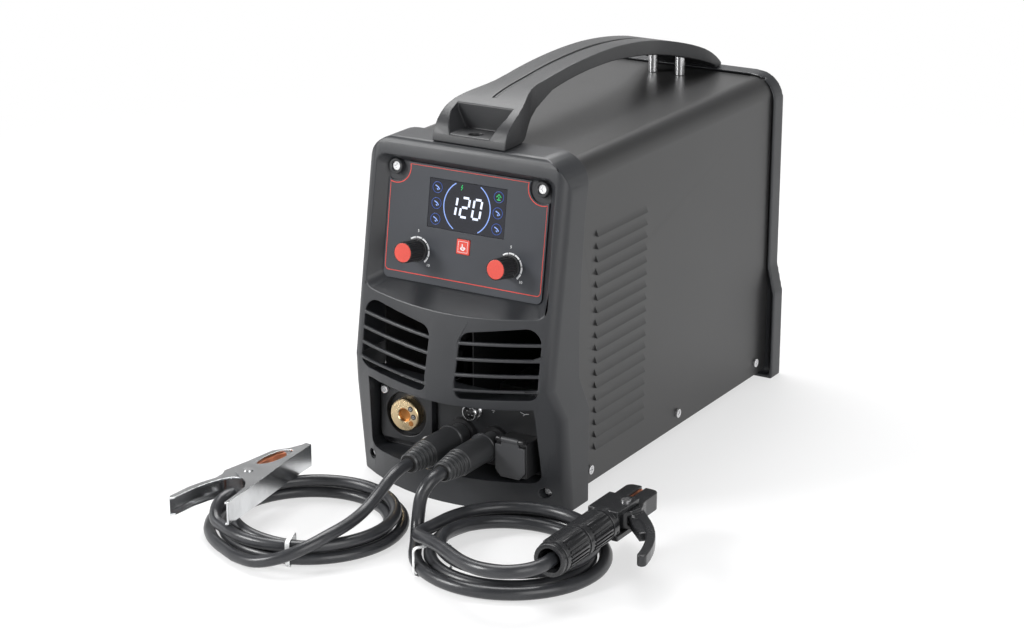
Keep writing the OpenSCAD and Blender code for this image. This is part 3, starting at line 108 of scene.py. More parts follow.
class Look:
    # one material, with its shader and what feeds it
    def __init__(self, name, colour, rough, metal=0.0, specular=0.5):
        self.material = bpy.data.materials.new(name)
        self.material.use_nodes = True
        self.tree = self.material.node_tree
        self.shader = self.tree.nodes["Principled BSDF"]
        self.set("Base Color", (*colour, 1))
        self.set("Roughness", rough)
        self.set("Metallic", metal)
        self.set("Specular IOR Level", specular)
        self.material.diffuse_color = (*colour, 1)

    def set(self, socket, value):
        if isinstance(value, Value):
            self.tree.links.new(value.socket, self.shader.inputs[socket])
        else:
            self.shader.inputs[socket].default_value = value
        return self

    def node(self, kind, settings=None, inputs=None, out=0):
        made = self.tree.nodes.new(kind)
        for key, value in (settings or {}).items():
            setattr(made, key, value)
        for key, value in (inputs or {}).items():
            if isinstance(value, Value):
                self.tree.links.new(value.socket, made.inputs[key])
            else:
                made.inputs[key].default_value = value
        return Value(self, made.outputs[out])

    def place(self):
        return self.node("ShaderNodeTexCoord", out="Object")

    def noise(self, scale, detail=2.0, rough=0.5):
        return self.node("ShaderNodeTexNoise", None,
                         {"Vector": self.place(), "Scale": scale, "Detail": detail, "Roughness": rough})

    def ramp(self, value, low, high):
        return self.node("ShaderNodeMapRange", {"clamp": True},
                         {0: value, 1: low, 2: high, 3: 0.0, 4: 1.0})

    def blend(self, factor, first, second):
        wide = lambda c: c if isinstance(c, Value) else (*c, 1)
        return self.node("ShaderNodeMix", {"data_type": "RGBA"},
                         {0: factor, 6: wide(first), 7: wide(second)}, out=2)

    def bump(self, height, strength, distance):
        normal = self.node("ShaderNodeBump", None,
                           {"Height": height, "Strength": strength, "Distance": distance})
        return self.set("Normal", normal)


# ---------------------------------------------------------------- mesh helpers
def link(name, data):
    piece = bpy.data.objects.new(name, data)
    scene.collection.objects.link(piece)
    return piece


def settle(piece, look, node, replaced=True):
    piece.data.materials.clear()
    piece.data.materials.append(look.material)
    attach(piece, bodyOf[node])
    if replaced:
        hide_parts(node)
    return piece


def copyOf(node):
    bm = bmesh.new()
    bm.from_mesh(nodes[node].data)
    bmesh.ops.remove_doubles(bm, verts=bm.verts, dist=0.004 * mm)
    return bm


def smoothUnder(bm, degrees):
    for face in bm.faces:
        face.smooth = True
    for edge in bm.edges:
        edge.smooth = edge.calc_face_angle(0) < math.radians(degrees)


def finish(name, bm, look, node, replaced=True, degrees=35):
    smoothUnder(bm, degrees)
    data = bpy.data.meshes.new(name)
    bm.to_mesh(data)
    bm.free()
    return settle(link(name, data), look, node, replaced)


def baked(piece):
    # the piece's mesh with its modifiers applied
    graph = bpy.context.evaluated_depsgraph_get()
    data = bpy.data.meshes.new_from_object(piece.evaluated_get(graph))
    piece.modifiers.clear()
    piece.data = data
    return piece


def moulded(name, node, look, voxel, passes, keep):
    # the CAD shape with every edge rounded, as a moulding or a stamping has them
    bm = copyOf(node)
    data = bpy.data.meshes.new(name)
    bm.to_mesh(data)
    bm.free()
    piece = link(name, data)
    grid = piece.modifiers.new("grid", "REMESH")
    grid.mode = "VOXEL"
    grid.voxel_size = voxel * mm
    ease = piece.modifiers.new("ease", "SMOOTH")
    ease.factor = 0.5
    ease.iterations = passes
    thin = piece.modifiers.new("thin", "DECIMATE")
    thin.ratio = keep
    baked(piece)
    piece.data.shade_smooth()
    return settle(piece, look, node)


def edged(name, node, look, width, segments=2, degrees=28):
    # the CAD shape with a small bevel on its sharp edges
    bm = copyOf(node)
    bmesh.ops.dissolve_limit(bm, angle_limit=math.radians(0.6), verts=bm.verts, edges=bm.edges)
    limit = math.radians(degrees)
    sharp = [e for e in bm.edges if len(e.link_faces) == 2 and e.calc_face_angle(0) > limit]
    bmesh.ops.bevel(bm, geom=sharp, offset=width * mm, offset_type="OFFSET", affect="EDGES",
                    segments=segments, profile=0.5, material=-1, clamp_overlap=False)
    piece = finish(name, bm, look, node, degrees=40)
    even = piece.modifiers.new("even", "WEIGHTED_NORMAL")
    even.keep_sharp = True
    even.weight = 100
    return piece


def turned(name, profile, place, look, node, steps=48, replaced=False):
    # a closed profile of (radius, height) points in millimetres, spun round the z axis of place
    bm = bmesh.new()
    points = [bm.verts.new((r, 0, z)) for r, z in profile]
    rim = [bm.edges.new((a, b)) for a, b in zip(points, points[1:] + points[:1])]
    bmesh.ops.spin(bm, geom=points + rim, cent=(0, 0, 0), axis=(0, 0, 1), dvec=(0, 0, 0),
                   angle=2 * math.pi, steps=steps, use_merge=True, use_duplicate=False)
    bmesh.ops.remove_doubles(bm, verts=bm.verts, dist=0.001)
    bmesh.ops.recalc_face_normals(bm, faces=bm.faces)
    bmesh.ops.transform(bm, matrix=place @ Matrix.Diagonal((mm, mm, mm, 1)), verts=bm.verts)
    return finish(name, bm, look, node, replaced)


def strokes(name, lines, width, place, look, node, lift=0.06):
    # flat printed or lit lines, each a list of points in the plane of place, in millimetres
    curve = bpy.data.curves.new(name, "CURVE")
    curve.dimensions = "3D"
    curve.bevel_depth = width / 2
    curve.bevel_resolution = 1
    curve.use_fill_caps = True
    for line in lines:
        spline = curve.splines.new("POLY")
        closed = len(line) > 2 and (Vector(line[0]) - Vector(line[-1])).length < 1e-6
        points = line[:-1] if closed else line
        spline.points.add(len(points) - 1)
        for point, (u, v) in zip(spline.points, points):
            point.co = (u, v, 0, 1)
        spline.use_cyclic_u = closed
    source = link(name, curve)
    graph = bpy.context.evaluated_depsgraph_get()
    data = bpy.data.meshes.new_from_object(source.evaluated_get(graph))
    bpy.data.objects.remove(source)
    data.transform(place @ Matrix.Diagonal((mm, mm, 2 * lift / width * mm, 1)))
    return settle(link(name, data), look, node, replaced=False)


def numbers(name, words, place, look, node, lift=0.04):
    # plain numbers: text, height and middle of each, in millimetres
    bm = bmesh.new()
    for body, height, (u, v) in words:
        text = bpy.data.curves.new(name, "FONT")
        text.body = body
        text.size = height
        text.align_x = "CENTER"
        text.align_y = "CENTER"
        text.extrude = lift
        source = link(name, text)
        graph = bpy.context.evaluated_depsgraph_get()
        data = bpy.data.meshes.new_from_object(source.evaluated_get(graph))
        bpy.data.objects.remove(source)
        data.transform(Matrix.Translation((u, v, 0)))
        bm.from_mesh(data)
    bmesh.ops.transform(bm, matrix=place @ Matrix.Diagonal((mm, mm, mm, 1)), verts=bm.verts)
    return finish(name, bm, look, node, replaced=False)


def circle(u, v, r, a0=0.0, a1=360.0, n=40):
    count = max(4, int(n * abs(a1 - a0) / 360))
    return [(u + r * math.cos(math.radians(a0 + (a1 - a0) * i / count)),
             v + r * math.sin(math.radians(a0 + (a1 - a0) * i / count))) for i in range(count + 1)]


# ---------------------------------------------------------------- leads
leads = {
    "earth": {"d": 9.5, "r": 80, "centre": (-58.5, -140), "start": 245, "way": -1, "turns": (1.6, 0.5, 0.9),
              "plug": (0, 50), "out": [(0, -4, 50), (-0.1, -13.6, 49.1), (-0.6, -26.3, 45.2), (-1.6, -44.4, 36.1),
                                      (-1.9, -62.1, 30.2), (-2, -81.8, 27.7), (-4.8, -102.1, 25.8),
                                      (-12.8, -120.9, 20.9), (-27.9, -135.1, 13.8), (-48.3, -139.9, 8)],
              "in": [(-109.4, -194.8, 16.9), (-113.6, -190, 20.1), (-115.5, -183.4, 24.9),
                     (-114.97, -175.24, 28.05), (-114.45, -166.76, 28.05)],
              "landing": 14},
    "electrode": {"d": 10.5, "r": 76, "centre": (110, -109), "start": 210, "way": 1, "turns": (1.6, 0.5, 0.8),
                  "plug": (31, 49), "out": [(31, -4, 49), (30.4, -10.8, 47.7), (28.7, -17.9, 43.1),
                                           (26.5, -23.1, 34.3), (26.3, -27.3, 17.2), (30.3, -35, 8.1)],
                  "in": [(41.6, -128.5, 17.8), (43.5, -138.1, 19.5), (48.1, -148, 22.5), (56.3, -157.6, 26.2),
                         (69.1, -167, 29.9), (88.8, -178.2, 32.1), (110.8, -191, 32.7), (127.1, -197.8, 33.5),
                         (141.4, -199.9, 34.3), (153.8, -197.8, 35.1), (163.6, -192.3, 35.7), (170.5, -184.2, 36.2),
                         (174, -174, 36.4), (174, -160, 36.4)],
                  "landing": 7},
    "step": 11.6, "lift": 0.9, "layerGap": 0.6, "plugEnd": -88.0,
}


def splinePoints(points, n):
    # Catmull-Rom through the points, n steps to a stretch
    p = [Vector(q) for q in points]
    made = []
    for i in range(len(p) - 1):
        a, b, c, d = p[max(i - 1, 0)], p[i], p[i + 1], p[min(i + 2, len(p) - 1)]
        for k in range(n):
            t = k / n
            made.append(0.5 * (2 * b + (c - a) * t + (2 * a - 5 * b + 4 * c - d) * t ** 2
                               + (3 * b - a - 3 * c + d) * t ** 3))
    return made + [p[-1]]


def leadRoute(lead):
    d, turns = lead["d"], lead["turns"]
    low = d / 2 + leads["lift"]
    high = low + d + leads["layerGap"]
    middle, total = turns[0] + turns[1] / 2, sum(turns)

    def coilPoint(t):
        a = math.radians(lead["start"] + lead["way"] * 360 * t)
        r = lead["r"] - leads["step"] * (t if t < middle else 2 * middle - t)
        k = min(1, max(0, (t - turns[0]) / turns[1]))
        z = low + (high - low) * (1 - math.cos(math.pi * k)) / 2
        return Vector((lead["centre"][0] + r * math.cos(a), lead["centre"][1] + r * math.sin(a), z))

    count = round(total * 72)
    coil = [coilPoint(total * i / count) for i in range(count + 1)]
    a0 = math.radians(lead["start"])
    a1 = math.radians(lead["start"] + lead["way"] * 360 * total)
    first = coil[0] - d * lead["way"] * Vector((-math.sin(a0), math.cos(a0), 0))
    last = coil[-1] + d * lead["way"] * Vector((-math.sin(a1), math.cos(a1), 0))
    entry = (coil[0] - first).normalized()
    leave = (last - coil[-1]).normalized()
    out = [Vector((x, y + leads["plugEnd"], z)) for x, y, z in lead["out"]]
    start = Vector((lead["plug"][0], leads["plugEnd"], lead["plug"][1]))
    route = [start] + splinePoints(out + [first - lead["landing"] * entry], 5)
    route += [first - 5 * entry, first] + coil + [last, last + 4 * leave]
    return route + splinePoints([last + 8 * leave] + [Vector(p) for p in lead["in"]], 5)


def makeLead(name, lead, look, cadNodes):
    route = [at(*p) for p in leadRoute(lead)]
    curve = bpy.data.curves.new(name, "CURVE")
    curve.dimensions = "3D"
    curve.bevel_depth = lead["d"] / 2 * mm
    curve.bevel_resolution = 5
    curve.use_fill_caps = True
    spline = curve.splines.new("POLY")
    spline.points.add(len(route) - 1)
    for point, place in zip(spline.points, route):
        point.co = (*place, 1)
    piece = link(name, curve)
    curve.materials.append(look.material)
    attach(piece, "machine")
    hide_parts(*cadNodes)
    length = sum((b - a).length for a, b in zip(route, route[1:]))
    return piece, route, length


def sheathLook(name, colour):
    look = Look(name, colour, 0.34, specular=0.5)
    scuff = look.ramp(look.noise(60, 4, 0.6), 0.42, 0.75)
    fine = look.noise(900, 3, 0.6)
    look.set("Base Color", look.blend(scuff, colour, tuple(c * 1.35 for c in colour)))
    look.set("Roughness", scuff * 0.1 + fine * 0.08 + 0.26)
    return look.bump(fine, 0.06, 0.0002)


cordGrey = sheathLook("leadSheath", (0.027, 0.028, 0.031))
earthLead, earthRoute, earthLength = makeLead(
    "earthLead", leads["earth"], cordGrey, ["earth_cord", "earth_coil", "earth_tail"])
electrodeLead, electrodeRoute, electrodeLength = makeLead(
    "electrodeLead", leads["electrode"], cordGrey, ["electrode_cord", "electrode_coil", "electrode_tail"])
print("leads laid", round(earthLength, 3), round(electrodeLength, 3))


# ---------------------------------------------------------------- looks
def plasticLook(name, colour, rough, grain, depth=0.25):
    look = Look(name, colour, rough, specular=0.5)
    fine = look.noise(grain, 3, 0.6)
    wear = look.ramp(look.noise(18, 4, 0.55), 0.4, 0.8)
    look.set("Base Color", look.blend(wear, colour, tuple(c * 1.16 for c in colour)))
    look.set("Roughness", fine * 0.12 + wear * 0.06 + (rough - 0.1))
    return look.bump(fine, depth, 0.00015)


def paintLook(name, colour, rough):
    look = Look(name, colour, rough, specular=0.5)
    peel = look.noise(1400, 2, 0.5)
    speck = look.noise(3600, 1, 0.5)
    cloud = look.ramp(look.noise(9, 3, 0.5), 0.3, 0.8)
    look.set("Base Color", look.blend(cloud, colour, tuple(c * 1.12 for c in colour)))
    look.set("Roughness", peel * 0.08 + cloud * 0.05 + (rough - 0.06))
    return look.bump(peel * 0.7 + speck * 0.3, 0.2, 0.0001)


def metalLook(name, colour, rough, scratch=400, depth=0.1):
    look = Look(name, colour, rough, metal=1.0)
    fine = look.noise(scratch, 4, 0.6)
    blot = look.ramp(look.noise(45, 4, 0.6), 0.35, 0.75)
    look.set("Base Color", look.blend(blot, colour, tuple(c * 0.8 for c in colour)))
    look.set("Roughness", fine * 0.16 + blot * 0.1 + (rough - 0.1))
    return look.bump(fine, depth, 0.0002)


def plainLook(name, colour, rough, grain=700, depth=0.08, metal=0.0):
    look = Look(name, colour, rough, metal)
    fine = look.noise(grain, 2, 0.5)
    dark, light = tuple(c * 0.88 for c in colour), tuple(min(1, c * 1.1) for c in colour)
    look.set("Base Color", look.blend(fine, dark, light))
    look.set("Roughness", fine * 0.1 + (rough - 0.05))
    return look.bump(fine, depth, 0.0001)


def litLook(name, colour, strength):
    look = Look(name, tuple(c * 0.3 for c in colour), 0.3)
    fine = look.noise(2500, 1, 0.5)
    look.set("Emission Color", look.blend(fine, tuple(c * 0.9 for c in colour), colour))
    look.set("Emission Strength", strength)
    return look


bezelGrey = plasticLook("bezelPlastic", (0.0195, 0.0208, 0.0237), 0.45, 2600)
handleGrey = plasticLook("handlePlastic", (0.018, 0.0187, 0.0205), 0.46, 2200, 0.3)
blackPlastic = plasticLook("blackPlastic", (0.014, 0.014, 0.015), 0.4, 1800, 0.15)
recessBlack = plasticLook("recessPlastic", (0.018, 0.019, 0.021), 0.42, 2400, 0.2)
caseBlack = paintLook("casePaint", (0.024, 0.024, 0.0245), 0.36)
filmGrey = plasticLook("panelFilm", (0.030, 0.033, 0.040), 0.44, 3200, 0.06)
windowBlack = Look("displayWindow", (0.005, 0.006, 0.012), 0.12, specular=0.6)
windowBlack.set("Roughness", windowBlack.noise(300, 2) * 0.08 + 0.08)
capRed = plainLook("knobCapRed", (0.56, 0.056, 0.038), 0.42)
buttonRed = plainLook("buttonRed", (0.60, 0.055, 0.036), 0.4)
printRed = plainLook("printRed", (0.62, 0.05, 0.035), 0.45)
printWhite = plainLook("printWhite", (0.72, 0.73, 0.74), 0.5)
zinc = metalLook("zincScrew", (0.74, 0.74, 0.75), 0.24, 120, depth=0.03)
# painted light: a paler, half-metallic copy of the zinc, so that the front screw heads show bright in their dark
# holes instead of mirroring the dark
zincPaintedBright = plainLook("zincPaintedBright", (0.80, 0.80, 0.81), 0.3, 300, 0.1, metal=0.45)
jawSteel = metalLook("zincSteel", (0.74, 0.75, 0.76), 0.2, 26, depth=0.035)
brass = metalLook("brassTurned", (0.88, 0.62, 0.33), 0.2, 120, depth=0.03)
brassPale = metalLook("brassFace", (0.98, 0.76, 0.46), 0.26, 90, depth=0.04)
boreBrown = metalLook("boreBrass", (0.50, 0.22, 0.07), 0.45, 90, depth=0.05)
copper = metalLook("copperContact", (0.82, 0.30, 0.16), 0.3, 200, depth=0.08)
steel = metalLook("springSteel", (0.26, 0.26, 0.27), 0.3, 150, depth=0.04)
bootRubber = plasticLook("bootRubber", (0.036, 0.037, 0.039), 0.36, 1500, 0.12)
flapRubber = plasticLook("flapRubber", (0.045, 0.046, 0.049), 0.5, 1500, 0.2)
holderPlastic = plasticLook("holderPlastic", (0.018, 0.0185, 0.020), 0.28, 900, 0.08)
tieNylon = plainLook("tieNylon", (0.78, 0.79, 0.79), 0.38, 500, 0.1)
# painted shade: a near-black for the hollow ends of the plugs' boots
bootMouthShadeBlack = plainLook("bootMouthPaintedShade", (0.004, 0.004, 0.004), 0.7)
aluminium = metalLook("heatSinkAluminium", (0.80, 0.81, 0.82), 0.36)
boardGreen = plainLook("boardGreen", (0.015, 0.10, 0.045), 0.35, 350, 0.3)
varnish = plainLook("varnishedWinding", (0.26, 0.11, 0.045), 0.35, 240, 0.5)
print("looks mixed")

looksOfNodes = {
    # the inner divider is given black plastic so that the case's inside reads dark through the vents: painted shade
    "base_tray": caseBlack, "rear_panel": caseBlack, "inner_divider": blackPlastic, "control_board": boardGreen,
    "display_module": windowBlack, "socket_plate": recessBlack, "power_board": boardGreen,
    "heat_sinks": aluminium, "transformer": varnish, "fan_frame": blackPlastic, "fan_rotor": blackPlastic,
    "feed_unit": blackPlastic, "feed_motor": aluminium, "drive_roll": steel, "pressure_arm": handleGrey,
    "pressure_roll": steel, "spool_spindle": blackPlastic, "wire_spool": blackPlastic,
    "power_switch": blackPlastic, "power_rocker": blackPlastic, "gas_inlet": brass, "cable_gland": blackPlastic,
    "clamp_spring": steel, "clamp_pin": zinc, "holder_pin": zinc, "clamp_contact": copper, "holder_contact": copper,
    "panel_sockets": blackPlastic, "trigger_socket": zinc, "door_latch": blackPlastic,
}
for node, look in looksOfNodes.items():
    nodes[node].data.materials.clear()
    nodes[node].data.materials.append(look.material)

# ---------------------------------------------------------------- mouldings and sheet metal
mouldings = {  # node: look, grid in mm, smoothing passes, share of faces kept
    "rear_bezel": (bezelGrey, 1.5, 4, 0.25),
    "holder_handle": (holderPlastic, 0.55, 3, 0.3),
    "holder_lever": (holderPlastic, 0.6, 4, 0.3),
    "earth_plug": (bootRubber, 0.45, 7, 0.4),
    "electrode_plug": (bootRubber, 0.45, 7, 0.4),
    "cut_socket_cap": (flapRubber, 0.35, 4, 0.4),
    "cut_socket": (blackPlastic, 0.45, 2, 0.35),
    "euro_flange": (recessBlack, 0.5, 2, 0.35),
}
for node, (look, grid, passes, keep) in mouldings.items():
    piece = moulded(node + "Moulding", node, look, grid, passes, keep)
    print(piece.name, len(piece.data.polygons))

edges = {  # node: look, bevel in mm
    "front_bezel": (bezelGrey, 0.9),
    "carry_handle": (handleGrey, 1.2),
    "case_cover": (caseBlack, 0.25),
    "side_door": (caseBlack, 0.3),
    "control_panel": (filmGrey, 0.2),
    "voltage_knob": (blackPlastic, 0.2),
    "current_knob": (blackPlastic, 0.2),
    "voltage_knob_cap": (capRed, 0.5),
    "current_knob_cap": (capRed, 0.5),
    "mode_button": (buttonRed, 0.5),
    "case_screws": (zinc, 0.3),
    "front_screws": (zincPaintedBright, 0.3),
    "cable_ties": (tieNylon, 0.25),
    "clamp_bottom_jaw": (jawSteel, 0.3),
    "clamp_top_jaw": (jawSteel, 0.3),
}
for node, (look, width) in edges.items():
    piece = edged(node + "Finish", node, look, width)
    print(piece.name, len(piece.data.polygons))
print("mouldings and sheet metal finished")

# ---------------------------------------------------------------- control panel prints
panel = {"lean": 8.43, "y": -9.973, "z": 172.137, "w": 149, "l": 96, "notch": (68, 91, 12),
         "display": (0, 66.2), "knobX": 43.3, "knobV": 25.9, "button": (-0.5, 34.8)}
border = {"inset": 1.6, "bottom": 6.2, "corner": 3.5, "round": 1.4, "wide": 0.75}
dial = {"scale": 10.9, "drop": 0.5, "start": 130, "step": 30, "gap": 1.8, "steps": 6, "wide": 1.6,
        "marks": 15.6, "height": 3.2, "signs": ((0, 222), (5, 90), (10, -45))}
lean = math.radians(panel["lean"])
panelPlace = Matrix.Translation(at(0, panel["y"], panel["z"])) @ Matrix.Rotation(math.pi / 2 - lean, 4, "X")


def onPanel(u=0, v=0, w=0):
    return panelPlace @ Matrix.Translation(Vector((u, v, w)) * mm)


def borderLine():
    half, top = panel["w"] / 2 - border["inset"], panel["l"] - border["inset"]
    bottom, r = border["bottom"], border["corner"]
    nx, nv, nr = panel["notch"]
    reach = nr + border["round"]
    left = math.degrees(math.asin((top - nv) / reach))
    down = math.degrees(math.acos((half - nx) / reach))
    right = circle(nx, nv, reach, 180 - left, 360 - down, 60)
    side = [(half, bottom + r)] + circle(half - r, bottom + r, r, 0, -90, 24)
    line = right + side
    other = [(-u, v) for u, v in reversed(line)]
    return [line + other + [line[0]]]


strokes("panelLine", borderLine(), border["wide"], onPanel(), printRed, "control_panel")

for side, name in ((-1, "voltage"), (1, "current")):
    u, v = side * panel["knobX"], panel["knobV"]
    starts = [dial["start"] - dial["step"] * i for i in range(dial["steps"])]
    band = [circle(u, v - dial["drop"], dial["scale"], a - dial["gap"], a - dial["step"] + dial["gap"], 60)
            for a in starts]
    strokes(name + "Scale", band, dial["wide"], onPanel(), printWhite, "control_panel")
    marks = [(str(n), dial["height"],
              (u + dial["marks"] * math.cos(math.radians(a)), v + dial["marks"] * math.sin(math.radians(a))))
             for n, a in dial["signs"]]
    numbers(name + "Marks", marks, onPanel(), printWhite, "control_panel")

# the button's white frame, and a simple hand in it
bu, bv = panel["button"]
h = 4.3  # half of the frame's side
frameLine = [[(bu - h, bv - h), (bu + h, bv - h), (bu + h, bv + h), (bu - h, bv + h), (bu - h, bv - h)]]
strokes("buttonFrame", frameLine, 0.5, onPanel(0, 0, 0.8), printWhite, "mode_button")
hand = [[(bu - 0.6, bv + 2.4), (bu - 0.6, bv - 1.2)], [(bu - 2.0, bv - 0.6), (bu - 1.2, bv - 2.4)],
        [(bu + 0.9, bv + 0.1), (bu + 0.9, bv - 1.6)], [(bu + 2.0, bv - 0.4), (bu + 1.8, bv - 1.8)],
        [(bu - 0.9, bv - 2.4), (bu + 1.4, bv - 2.4)]]
strokes("buttonHand", hand, 1.1, onPanel(0, 0, 0.8), printWhite, "mode_button")
for piece in ("buttonFrame", "buttonHand"):
    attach(bpy.data.objects[piece], "button")

# dark seats round the two panel screws
seat = {"outer": 6.6, "inner": 3.9, "high": 2.6}
seatOutline = [(seat["inner"], -1.2), (seat["outer"], -1.2), (seat["outer"] - 0.5, seat["high"] - 0.4),
               (seat["outer"] - 1.0, seat["high"]), (seat["inner"] + 0.5, seat["high"]),
               (seat["inner"], seat["high"] - 0.5)]
for side, name in ((-1, "left"), (1, "right")):
    screwPlace = onPanel(side * panel["notch"][0], panel["notch"][1])
    turned(name + "ScrewSeat", seatOutline, screwPlace, recessBlack, "front_bezel")

# the foot screws' heads, a little way down their dark holes, in the paler zinc copy that paints their brightness
foot = {"x": 82.9, "y": -9.6, "z": 17.6,
        "head": [(0, -1), (3.9, -1), (3.9, 0.6), (3.1, 1.6), (1.2, 2.1), (1.0, 1.2), (0, 1.2)]}
for side, name in ((-1, "left"), (1, "right")):
    turned(name + "FootScrew", foot["head"], facing(side * foot["x"], foot["y"], foot["z"]), zincPaintedBright,
           "front_screws", steps=32)

# painted shade: near-black rings at the mouths of the plugs' boots, round the leads, stand for the shade inside the
# boots' hollow ends
for name in ("earth", "electrode"):
    x, z = leads[name]["plug"]
    turned(name + "BootMouth", [(4.4, -0.6), (7.0, -0.6), (7.0, 0.12), (4.4, 0.12)],
           facing(x, leads["plugEnd"], z), bootMouthShadeBlack, name + "_plug")

# display: three digits between two arcs, with rows of round symbols
litWhite = litLook("digitWhite", (0.80, 0.86, 1.0), 1.0)
litBlue = litLook("arcBlue", (0.30, 0.45, 0.95), 0.8)
litDim = litLook("ringBlue", (0.04, 0.10, 0.42), 0.7)
litGreen = litLook("symbolGreen", (0.03, 0.62, 0.16), 0.9)
display = {"shows": "120", "digitW": 7.0, "digitH": 15.6, "pitch": 11.4, "slant": 0.12, "first": -13.4,
           "bar": 1.9, "lift": -0.2, "arc": 21.6, "ring": 4.4, "column": 28.6, "row": 12.8}
segments = {"0": "abcdef", "1": "bc", "2": "abged"}


def digitLines(sign, u):
    w, hgt, g = display["digitW"] / 2, display["digitH"] / 2, 0.9
    ends = {"a": ((-w + g, hgt), (w - g, hgt)), "b": ((w, hgt - g), (w, g)), "c": ((w, -g), (w, -hgt + g)),
            "d": ((-w + g, -hgt), (w - g, -hgt)), "e": ((-w, -g), (-w, -hgt + g)), "f": ((-w, hgt - g), (-w, g)),
            "g": ((-w + g, 0), (w - g, 0))}
    return [[(u + x + display["slant"] * y, y) for x, y in ends[s]] for s in segments[sign]]


onDisplay = onPanel(*panel["display"], display["lift"])
digits = [line for i, sign in enumerate(display["shows"])
          for line in digitLines(sign, display["first"] + display["pitch"] * i)]
strokes("displayDigits", digits, display["bar"], onDisplay, litWhite, "display_module")
arcs = [circle(0, 0, display["arc"], 122, 238, 80), circle(0, 0, display["arc"], -58, 58, 80)]
strokes("displayArcs", arcs, 0.9, onDisplay, litBlue, "display_module")
spots = [(u, v) for u in (-display["column"], display["column"]) for v in (-display["row"], 0, display["row"])]
rings = [circle(u, v, display["ring"]) for u, v in spots]
strokes("displayRings", rings, 0.45, onDisplay, litDim, "display_module")
symbols = []
for u, v in spots[:-1]:
    symbols += [[(u - 2.0, v + 1.6), (u + 0.6, v + 0.4), (u + 2.1, v - 1.4)],
                [(u - 0.4, v - 1.0), (u + 0.8, v - 2.0)]]
strokes("displaySymbols", symbols, 0.9, onDisplay, litBlue, "display_module")
bolt = [[(-5.4, 17.6), (-6.6, 15.6), (-5.2, 15.6), (-6.4, 13.6)]]
roof = [[(26.4, 12.6), (28.6, 15.0), (30.8, 12.6)], [(27.0, 10.6), (30.2, 10.6)], [(28.6, 13.2), (28.6, 11.4)]]
strokes("displayGreen", bolt + roof, 0.7, onDisplay, litGreen, "display_module")
print("control panel printed")

# torch connector: a bright turned face that stands in a dark well, whose bottom disc is painted shade where the
# connector's brass collar lies in shadow, with its bore, two pins and a gas port
euro = {"x": -52, "y": -13, "z": 57, "r": 13.6, "bore": 5.6, "well": 18.8, "reach": 9.0, "port": 2.3}
euroPlace = facing(euro["x"], euro["y"], euro["z"])
turned("euroFace", [(euro["bore"], -8), (euro["r"], -8), (euro["r"], 1.6), (euro["r"] - 0.7, 2.3),
                    (euro["bore"] + 0.7, 2.3), (euro["bore"], 1.6)],
       euroPlace, brassPale, "euro_connector", replaced=True)
# painted shade: a dark plastic disc closes the well where the brass collar lies in shadow
turned("euroWell", [(0, -8.5), (euro["well"], -8.5), (euro["well"], -6), (0, -6)],
       euroPlace, recessBlack, "euro_connector")
turned("euroBore", [(0, -5.9), (euro["bore"] + 0.2, -5.9), (euro["bore"] + 0.2, -1.5), (3.0, -2.5), (0, -2.5)],
       euroPlace, boreBrown, "euro_connector")
for name, degrees, ported in (("Upper", 46, True), ("Middle", 0, True), ("Lower", -42, False)):
    a = math.radians(degrees)
    shift = Vector((euro["reach"] * math.cos(a), euro["reach"] * math.sin(a), 0))
    spot = euroPlace @ Matrix.Translation(shift * mm)
    turned("euroPort" + name, [(0, 1.8), (euro["port"], 1.8), (euro["port"], 2.42), (0, 2.42)], spot,
           blackPlastic if ported else boreBrown, "euro_connector", steps=24)
    if ported:
        turned("euroPin" + name, [(0.6, 2.3), (1.3, 2.3), (1.3, 2.7), (0.6, 2.7)], spot, zinc,
               "euro_connector", steps=20)

# trigger socket: a plated ring with pins in a dark insert
trigger = {"x": 11, "y": -7.0, "z": 71.5, "pins": 5, "reach": 3.1}
triggerPlace = facing(trigger["x"], trigger["y"], trigger["z"])
turned("triggerNut", [(5.6, 0), (8.0, 0), (8.0, 2.2), (7.4, 3.0), (6.8, 3.0), (6.8, 8.4), (6.3, 9.0), (5.6, 9.0)],
       triggerPlace, zinc, "trigger_socket", replaced=True)
turned("triggerInsert", [(0, -8), (5.5, -8), (5.5, 3.4), (5.1, 3.8), (0, 3.8)], triggerPlace, blackPlastic,
       "trigger_socket")
for i in range(trigger["pins"]):
    a = math.radians(90 + 360 / trigger["pins"] * i)
    shift = Vector((trigger["reach"] * math.cos(a), trigger["reach"] * math.sin(a), 0))
    turned("triggerPin%d" % (i + 1), [(0, 3.2), (0.75, 3.2), (0.75, 6.2), (0.45, 6.9), (0, 7.0)],
           triggerPlace @ Matrix.Translation(shift * mm), zinc, "trigger_socket", steps=12)

# small signs by the sockets
signs = [[(-16, 74), (-12, 74), (-14, 77.6), (-16, 74)], [(-17, 72.4), (-11, 72.4)],
         [(26, 77), (29, 77), (27.4, 74.2), (30.4, 74.2)], [(28.2, 72.4), (29.4, 73.4)],
         [(54, 78), (58, 76.6), (62, 77.6)], [(56.6, 75.2), (58.4, 76.6)]]
strokes("socketSigns", signs, 0.6, facing(0, trigger["y"], 0), printWhite, "socket_plate")
print("socket signs printed")


# ---------------------------------------------------------------- electrode holder's grip
grip = {"at": (174, -166, 36.4), "r": 13.0, "groups": ((9, 39), (45, 75)), "ribs": (-34, -20, -6, 8, 22, 36, 50, 64),
        "ribWide": 1.7, "ribHigh": 1.0, "band": 2.2, "bandHigh": 0.75}
holderPlace = Matrix.Translation(at(*grip["at"])) @ Matrix.Rotation(math.pi / 2, 4, "Z")


